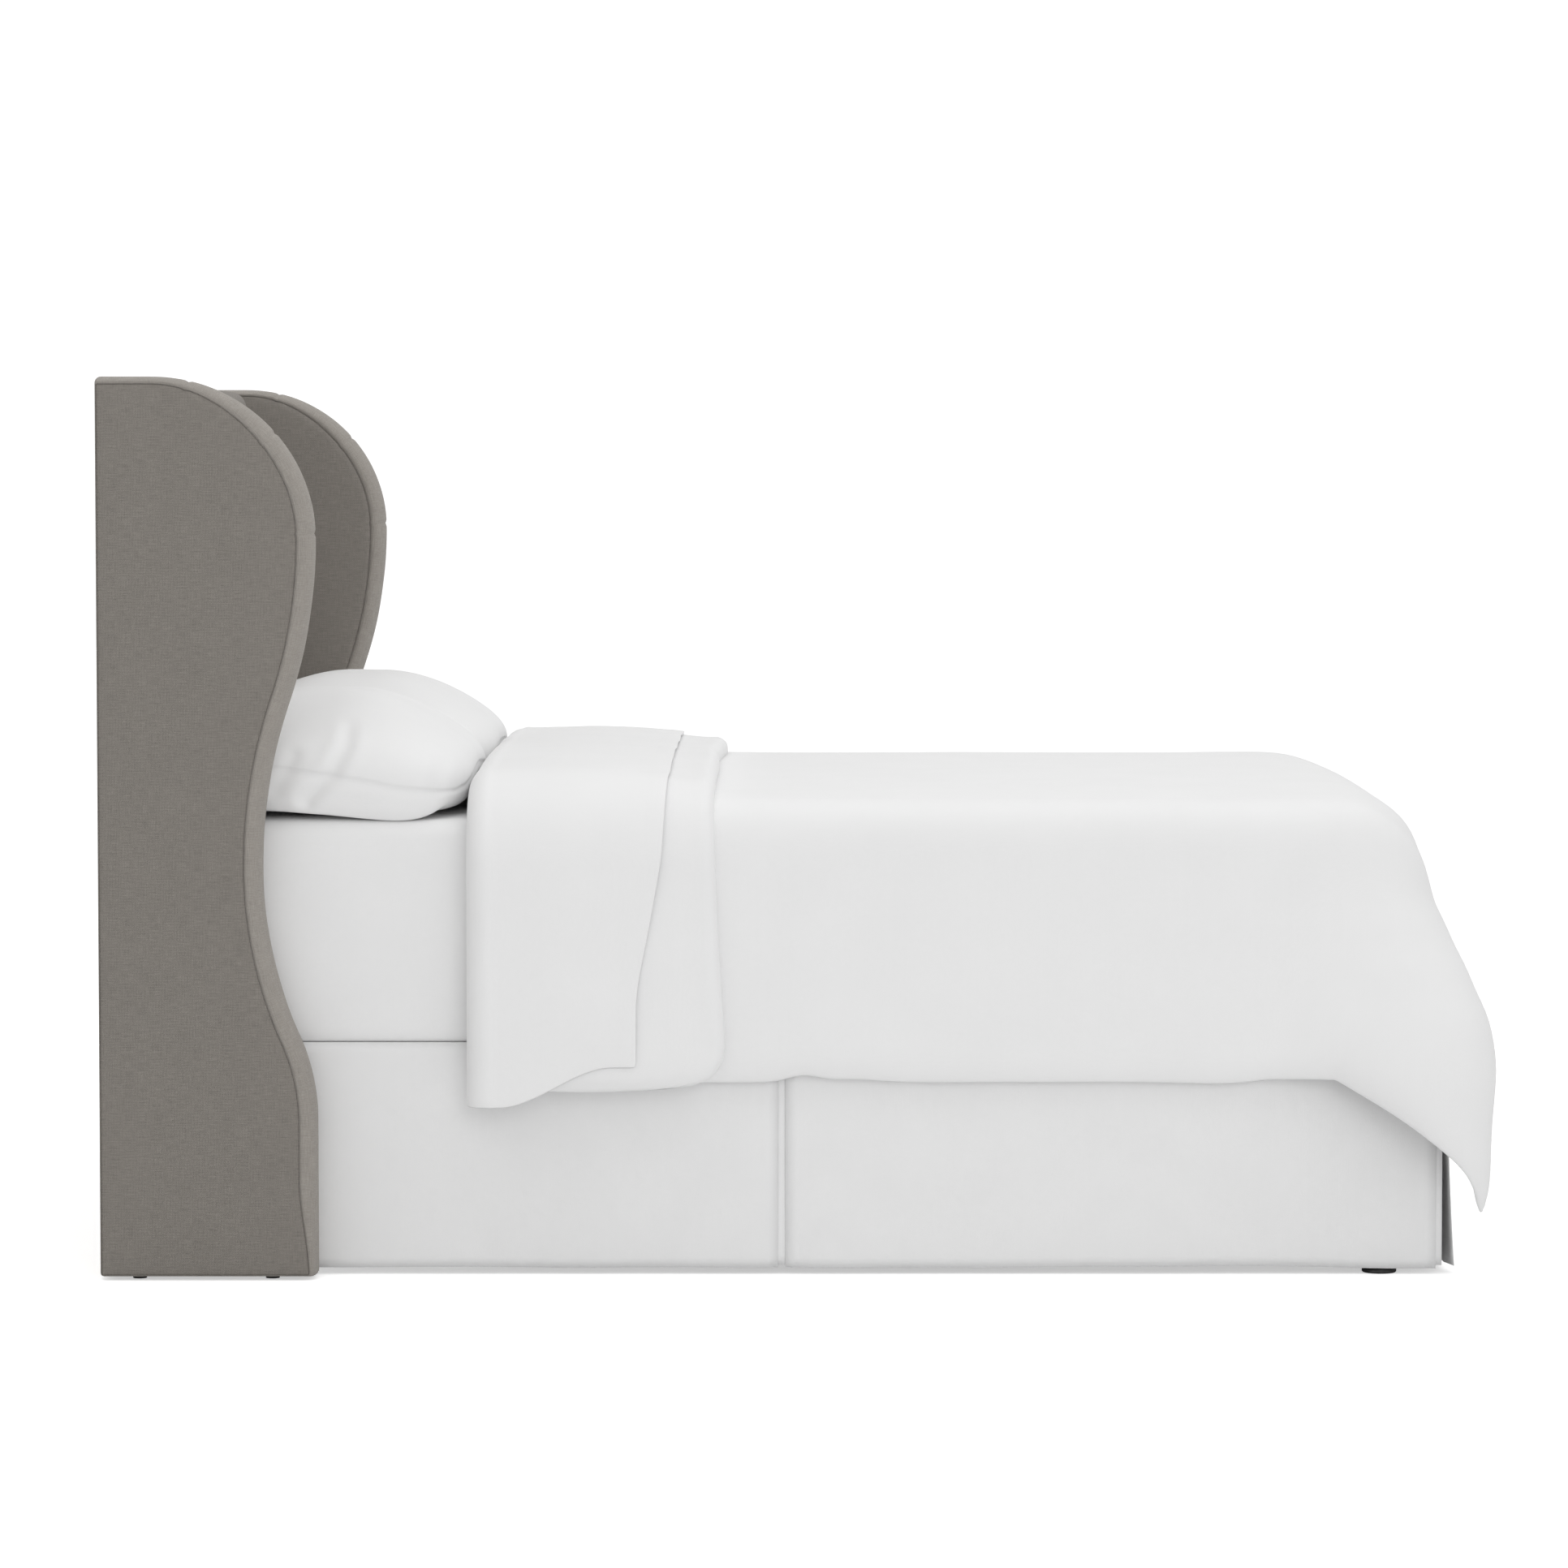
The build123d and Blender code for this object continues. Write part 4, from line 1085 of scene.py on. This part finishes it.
def turned_back_head():
    """The duvet's head rolled over and laid back on itself, down both sides of the bed."""
    section = fold_section()
    ring = len(section)
    base_half = SHEET_HALF + 0.0005
    base_top = SHEET_TOP + 0.0005 - crown_drop(base_half - FOLD_RADIUS, base_half)
    total = path_length(base_half, base_top, FOLD_LOW, FOLD_RADIUS)
    columns = 150
    cap = 0.045

    def place(u, v):
        distance = u * total
        x, z, normal = over_bed(distance, base_half, base_top, FOLD_LOW, FOLD_RADIUS)
        end = min(distance, total - distance)
        shrink = math.sqrt(max(0.0, 1 - (1 - min(1.0, end / cap)) ** 2))
        back, high = section[round(v * ring) % ring]
        middle_high = BODY_TOP + (FOLD_THICK - BODY_TOP) * 0.5
        length = TURN_HEAD - TURN_FOOT
        high = middle_high + (high - middle_high) * (0.12 + 0.88 * shrink)
        turn = max(0.0, 1 - end / FOLD_CORNER)
        back *= 1 - FOLD_CORNER * (1 - math.sqrt(1 - turn * turn)) / length
        high -= 0.012 * smooth_step(0.3, 1.0, back / length) * (high > BODY_TOP)
        hang = 1 - smooth_step(0.0, 0.30, end)
        drift = 0.016 * soft_noise(x, z, 0, 0.55, 7.0) * smooth_step(0.25, 0.9, back / length)
        puff = 0.0035 * soft_noise(x, back, z, 0.16, 2.0)
        place_high = high + puff * (high > middle_high)
        slant = 0.004 * hang
        return (x + normal.x * place_high, TURN_HEAD - back - drift - slant,
                z + normal.z * place_high - 0.008 * hang * math.sin(math.pi * back / length))

    def flat(u, v):
        return (u * total, v * 1.0)

    bm = cloth_grid(columns, ring, place, flat, weld=0.00002)
    bmesh.ops.holes_fill(bm, edges=[edge for edge in bm.edges if edge.is_boundary])
    bmesh.ops.recalc_face_normals(bm, faces=bm.faces)
    piece = add_object(bm, "duvet_turned_back_head", "bed", duvet_cotton)
    subdivide(piece, 1)
    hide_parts("duvet")
    return piece


def cuff():
    """The top sheet folded back over the duvet's head, with its stitched hem."""
    half = SHEET_HALF + 0.0005
    top = SHEET_TOP + 0.0005 - crown_drop(half - FOLD_RADIUS, half)
    low = CUFF_LOW
    total = path_length(half, top, low, FOLD_RADIUS)
    length = TURN_HEAD - TURN_FOOT
    reach = CUFF_REACH
    columns, rows = 150, 44

    def place(u, v):
        distance = u * total
        x, z, normal = over_bed(distance, half, top, low, FOLD_RADIUS)
        end = min(distance, total - distance)
        roll = FOLD_THICK / 2
        side = 1 - smooth_step(0.10, 0.52, end)
        cut = reach - 0.051 * side - roll
        arc = roll * math.pi * 0.62
        along = v * (arc + cut)
        if along < arc:
            angle = math.radians(90) + (arc - along) / roll
            back = roll + roll * math.cos(angle)
            high = roll + roll * math.sin(angle)
        else:
            back = roll + along - arc
            share = (back - roll) / (length - 2 * roll)
            high = FOLD_THICK + 0.004 * math.sin(math.pi * min(1, share)) - 0.002
        hem_share = back / reach
        lift = 0.064 * smooth_step(0.15, 0.72, hem_share) * smooth_step(0.30, 0.0, end)
        high -= 0.012 * smooth_step(0.3, 1.0, back / length)
        puff = 0.0035 * soft_noise(x, back, z, 0.16, 2.0)
        high += 0.0032 + puff * (high > BODY_TOP + 0.02) + 0.0009 * (v > 0.93)
        ripple = 0.0012 * math.sin(distance * 21) * smooth_step(0.6, 1.0, v)
        return (x + normal.x * (high + ripple), TURN_HEAD - back, z + lift + normal.z * (high + ripple))

    def flat(u, v):
        return (u * total, v * CUFF_CLOTH)

    bm = cloth_grid(columns, rows, place, flat)
    outward(bm, Vector((0, y_at(0.75), 0.5)))
    piece = add_object(bm, "top_sheet_cuff", "bed", cuff_cotton)
    solidify(piece, CUFF_THICK, offset=1.0)
    subdivide(piece, 1)
    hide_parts("top_sheet")
    return piece


turned_back_head()
cuff()


# Pillows

CREASES = (
    (((0.381, 0.894), (0.3885, 0.871), (0.3847, 0.839), (0.364, 0.798), (0.322, 0.752)), 0.0065, 0.010),
    (((0.302, 0.824), (0.290, 0.795), (0.273, 0.770)), 0.0030, 0.010),
    (((0.536, 0.815), (0.530, 0.785), (0.524, 0.757)), 0.0025, 0.011),
    (((0.536, 0.868), (0.556, 0.850), (0.570, 0.822)), 0.0030, 0.008),
)
PILLOW_FRONT = 0.581
PILLOW_BACK = 0.100
PILLOW_TOP = 0.919
SEAM_LEVEL = 0.795
SEAM_SLOPE = 0.17
CROWN_POWER = 2.2
EDGE_POWER = 0.40


def pillow_plan(columns):
    """Evenly spaced points round a rectangle with soft corners, as shares of its half sizes."""
    fine = 4000
    points = []
    for step in range(fine + 1):
        turn = 2 * math.pi * step / fine
        points.append(Vector((math.copysign(abs(math.cos(turn)) ** 0.36, math.cos(turn)) * 1.5,
                              math.copysign(abs(math.sin(turn)) ** 0.36, math.sin(turn)))))
    run = [0.0]
    for first, second in zip(points, points[1:]):
        run.append(run[-1] + (second - first).length)
    even = []
    index = 0
    for column in range(columns + 1):
        wanted = run[-1] * column / columns
        while index < fine - 1 and run[index + 1] < wanted:
            index += 1
        share = min(1.0, max(0.0, (wanted - run[index]) / max(1e-9, run[index + 1] - run[index])))
        place = points[index].lerp(points[index + 1], share)
        even.append(Vector((place.x / 1.5, place.y)))
    return even


PILLOW_COLUMNS = 288
PILLOW_PLAN = pillow_plan(PILLOW_COLUMNS)


def pillow_point(u, v, middle, half):
    """A point of the pillow: u goes round its edge, v from under its middle, over the seam, to the top."""
    plan = PILLOW_PLAN[round(u * PILLOW_COLUMNS)]
    pinch = 1 - 0.020 * (1 - (abs(plan.x) * abs(plan.y)) ** 2)
    rise = abs(2 * v - 1) ** 1.3
    reach = math.cos(rise * math.pi / 2) ** 0.5
    x = middle.x + half.x * plan.x * reach * pinch
    y = middle.y + half.y * plan.y * reach * pinch
    depth = HEAD_Y - y
    seam = SEAM_LEVEL - SEAM_SLOPE * (depth - (HEAD_Y - middle.y)) * abs(plan.x * reach) ** 2
    over_edge = min(0.028, max(0.0, abs(x) - (SHEET_HALF - 0.032)))
    rest = SHEET_TOP + 0.0005 - crown_drop(x, SHEET_HALF) - 0.028 + math.sqrt(0.028 ** 2 - over_edge ** 2)
    droop = smooth_step(SHEET_HALF - 0.045, SHEET_HALF - 0.012, abs(x))
    rest -= droop * mix(0.018, 0.032, smooth_step(0.20, 0.50, depth))
    if v >= 0.5:
        top = PILLOW_TOP - 0.062 * smooth_step(0.36, 0.66, depth) - 0.012 * smooth_step(0.30, 0.10, depth)
        z = seam + (top - seam) * (1 - min(1.0, reach) ** CROWN_POWER) ** EDGE_POWER
    else:
        z = seam + (rest - seam) * (1 - min(1.0, reach) ** 7) ** 0.28
    return Vector((x, y, z)), seam


def pillow(side, sign):
    """A plump pillow with blunt ends, a seam round its edge and creases where its end is squeezed."""
    low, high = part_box(f"{side}_pillow")
    front, back = y_at(PILLOW_FRONT), y_at(PILLOW_BACK)
    middle = Vector(((low.x + high.x) / 2 + sign * 0.009, (front + back) / 2, 0))
    half = Vector(((high.x - low.x) / 2 + 0.009, (back - front) / 2, 0))

    def place(u, v):
        point, seam = pillow_point(u, v, middle, half)
        core = Vector((middle.x, middle.y, seam))
        ray = (Vector((point.x, point.y, (point.z + seam) / 2)) - core).normalized()
        puff = 0.0032 * soft_noise(point.x * sign, point.y, point.z, 0.13, 5.0 + sign)
        swell = puff * smooth_step(SHEET_TOP, SHEET_TOP + 0.03, point.z)
        if abs(v - 0.5) < 0.004:
            swell -= 0.0040
        if sign * point.x > abs(middle.x) + half.x * 0.72:
            share = smooth_step(abs(middle.x) + half.x * 0.72, abs(middle.x) + half.x * 0.9, sign * point.x)
            for line, deep, wide in CREASES:
                gap = near_line(HEAD_Y - point.y, point.z, line) / wide
                swell -= share * deep * (math.exp(-gap * gap) - 0.35 * math.exp(-((gap - 2.2) ** 2)))
        level = 0.0022 * soft_noise(point.y, point.x * 2, 0, 0.045, 9.0) * math.exp(-((v - 0.5) / 0.05) ** 2)
        return point + ray * swell + Vector((0, 0, level))

    bm = cloth_grid(PILLOW_COLUMNS, 64, place, lambda u, v: (u * 2.2, v * 0.9), weld=0.0004)
    outward(bm, Vector((middle.x, middle.y, SEAM_LEVEL)))
    piece = add_object(bm, f"{side}_pillow_cover", f"{side}_pillow_body", pillow_cotton)
    subdivide(piece, 1)
    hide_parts(f"{side}_pillow")
    return piece


for side, sign in (("left", -1), ("right", 1)):
    pillow(side, sign)


# Bed skirt

SKIRT_FACE = -SKIRT_LOW.x
SKIRT_HEM = SKIRT_LOW.z
PLEAT_DEPTH = 1.075
PLEAT_GAP = 0.012
PLEAT_BACKING = 0.075
SKIRT_TOP = DECK_HIGH.z
SKIRT_THICK = 0.0012


def skirt_panel(name, start, end, outwards, replaced=None, flare=0.0, curl=0.0, top=SKIRT_TOP,
                hem=SKIRT_HEM, seed=0.0):
    """A flat skirt panel hung from the deck's edge, from start to end in X and Y, seen from outside."""
    length = math.dist(start, end)
    drop = top - hem
    columns = max(6, round(length / 0.02))
    rows = 22
    along = Vector((end[0] - start[0], end[1] - start[1], 0)).normalized()
    face = Vector((outwards[0], outwards[1], 0))

    def place(u, v):
        distance = u * length
        down = (1 - v) * drop
        low = (down / drop) ** 1.6
        slow = 0.0042 * soft_noise(distance, seed, 0, 0.34)
        sway = (slow + 0.0018 * soft_noise(distance, seed + 5, 0, 0.13)) * low
        end = min(distance, length - distance)
        splay = flare * low + curl * smooth_step(0.05, 0.0, end) * (0.35 + 0.65 * low)
        uneven = (0.003 + 0.0042 * soft_noise(distance, seed + 9, 0, 0.28)) * low
        point = Vector((start[0], start[1], 0)) + along * distance + face * (abs(sway) + splay)
        return (point.x, point.y, top - down + uneven)

    def flat(u, v):
        return (u * length, v * drop)

    bm = cloth_grid(columns, rows, place, flat)
    middle = Vector(((start[0] + end[0]) / 2, (start[1] + end[1]) / 2, drop / 2)) - face
    outward(bm, middle)
    piece = add_object(bm, name, "bed", skirt_cotton)
    solidify(piece, SKIRT_THICK)
    if replaced:
        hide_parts(*replaced)
    return piece


def bed_skirt():
    """Side panels parted by a kick pleat, a foot panel, and the underlays behind the splits."""
    head = SKIRT_HIGH.y
    corner = SKIRT_LOW.y
    for side, sign in (("left", -1), ("right", 1)):
        x = sign * (SKIRT_FACE - 0.0002)
        split = y_at(PLEAT_DEPTH)
        skirt_panel(f"{side}_skirt_head_panel", (x, head), (x, split + PLEAT_GAP / 2), (sign, 0),
                    [f"{side}_skirt"], seed=sign * 3.1)
        skirt_panel(f"{side}_skirt_foot_panel", (x, split - PLEAT_GAP / 2), (x, corner), (sign, 0),
                    seed=sign * 6.7, flare=0.001)
        lining_x = sign * (SKIRT_FACE - 0.0030)
        skirt_panel(f"{side}_pleat_underlay", (lining_x, split + PLEAT_BACKING),
                    (lining_x, split - PLEAT_BACKING), (sign, 0),
                    hem=SKIRT_HEM + 0.0035, seed=sign * 9.3)
        skirt_panel(f"{side}_corner_underlay", (lining_x, corner + 0.064), (lining_x, DECK_LOW.y + 0.002),
                    (sign, 0), hem=SKIRT_HEM + 0.0035, seed=sign * 11.9)
    foot_y = DECK_LOW.y - 0.0013
    reach = DECK_HIGH.x - 0.012
    skirt_panel("foot_skirt_panel", (-reach, foot_y), (reach, foot_y), (0, -1), ["foot_skirt"],
                flare=0.006, curl=0.012, seed=15.3)


bed_skirt()


# Materials of the frame, foundation and fixings

def dress(material, *names):
    """Give CAD nodes their material."""
    for name in names:
        mesh = nodes[name].data
        mesh.materials.clear()
        mesh.materials.append(material)


pine_pale, pine_dark = (0.68, 0.50, 0.29), (0.50, 0.33, 0.17)
pine_along_x = timber("pine_cross", pine_pale, pine_dark, 0)
pine_along_y = timber("pine_long", pine_pale, pine_dark, 1)
pine_upright = timber("pine_upright", pine_pale, pine_dark, 2)
birch_ply = timber("plywood_sheet", (0.66, 0.51, 0.33), (0.55, 0.40, 0.24), 2, rings=14.0)
frame_black = coated_steel("frame_powder_coat", (0.018, 0.018, 0.019))
plated = zinc("zinc_plate")
glide_black = moulded_plastic("glide_plastic", (0.012, 0.012, 0.012))
cream_foam = open_foam("cut_foam", (0.80, 0.74, 0.55))
dark_lining = lining("dust_lining", (0.020, 0.020, 0.021))
ticking = lining("foundation_lining", (0.62, 0.62, 0.60))

dress(pine_along_x, "top_rail", "middle_rail", "bottom_rail", "foundation_slats", "foundation_end_boards")
dress(pine_along_y, "foundation_side_boards", "foundation_centre_beam")
dress(pine_upright, "left_stile", "right_stile", "wing_blocks")
dress(birch_ply, "panel_plywood", "left_wing_inner_ply", "left_wing_outer_ply", "right_wing_inner_ply",
      "right_wing_outer_ply")
dress(frame_black, "left_side_rail", "right_side_rail", "head_cross_rail", "middle_cross_rail",
      "foot_cross_rail", "centre_rail", "corner_legs", "centre_legs", "left_headboard_bracket",
      "right_headboard_bracket")
dress(plated, "bracket_bolts", "bracket_inserts", "rail_bolts", "rail_nuts", "wing_bolts", "wing_tee_nuts")
dress(glide_black, "corner_glides", "wing_glides", "head_levelling_foot", "middle_levelling_foot",
      "foot_levelling_foot")
dress(cream_foam, "mattress_spring_unit")
dress(dark_lining, "panel_dust_cover")
dress(ticking, "foundation_cover", "foundation_top_pad")
dress(skirt_cotton, "skirt_deck")


# Studio

CAMERA_PLACE = Vector((-9.648, 0.032, 1.2835))
CAMERA_DOWN = 3.245
CAMERA_TURN = 0.05
CAMERA_LENS = 129.2
FLOOR_REACH = 30
FLOOR_GLOW = 0.5
SKY_SEEN = 1.1
SKY_LIGHT = 0.72
SOFT_BOXES = (
    ("top_light", (-0.5, 0.0, 4.5), (0.0, 0.0, 0.5), 5.0, 60.0),
    ("side_light", (-7.5, -2.0, 2.6), (0.0, 0.0, 0.6), 3.5, 60.0),
)


def camera_only(tree, seen, lit):
    """A strength for what the camera sees, and another for the light that is given."""
    sight = add_node(tree, "ShaderNodeLightPath", {}).outputs["Is Camera Ray"]
    return calc(tree, "ADD", calc(tree, "MULTIPLY", sight, seen - lit), lit)


def studio_floor():
    """A white sweep that stays white right up to the bed."""
    bm = bmesh.new()
    bmesh.ops.create_grid(bm, x_segments=8, y_segments=8, size=FLOOR_REACH)
    mesh = bpy.data.meshes.new("studio_floor")
    bm.to_mesh(mesh)
    bm.free()
    floor = bpy.data.objects.new("studio_floor", mesh)
    bpy.context.scene.collection.objects.link(floor)
    floor.location.z = cad_box[0][2]
    paint = new_material("studio_white")
    tree = paint.node_tree
    patches = speckle(tree, coordinates(tree), 0.4, 2.0)
    colour = tint(tree, patches, (0.90, 0.90, 0.90, 1), (0.92, 0.92, 0.92, 1))
    inputs = {"Base Color": colour, "Roughness": 0.9, "Specular IOR Level": 0.1,
              "Emission Color": (1, 1, 1, 1), "Emission Strength": camera_only(tree, FLOOR_GLOW, 0.0)}
    surface(paint, inputs)
    floor.data.materials.append(paint)


def studio_lights():
    world = bpy.data.worlds.new("studio_light")
    world.use_nodes = True
    tree = world.node_tree
    background = tree.nodes["Background"]
    background.inputs["Color"].default_value = (1, 1, 1, 1)
    tree.links.new(camera_only(tree, SKY_SEEN, SKY_LIGHT), background.inputs["Strength"])
    bpy.context.scene.world = world
    for name, place, aim, size, power in SOFT_BOXES:
        lamp = bpy.data.lights.new(name, "AREA")
        lamp.shape = "SQUARE"
        lamp.size = size
        lamp.energy = power
        light = bpy.data.objects.new(name, lamp)
        bpy.context.scene.collection.objects.link(light)
        light.location = place
        light.rotation_euler = (Vector(aim) - Vector(place)).to_track_quat("-Z", "Y").to_euler()


def studio_camera():
    lens = bpy.data.cameras.new("camera")
    lens.lens = CAMERA_LENS
    lens.sensor_width = 36.0
    lens.clip_end = 60.0
    camera = bpy.data.objects.new("camera", lens)
    scene = bpy.context.scene
    scene.collection.objects.link(camera)
    camera.location = CAMERA_PLACE
    camera.rotation_euler = (math.radians(90 - CAMERA_DOWN), 0, math.radians(-90 - CAMERA_TURN))
    scene.camera = camera
    scene.view_settings.view_transform = "Standard"


studio_floor()
studio_lights()
studio_camera()
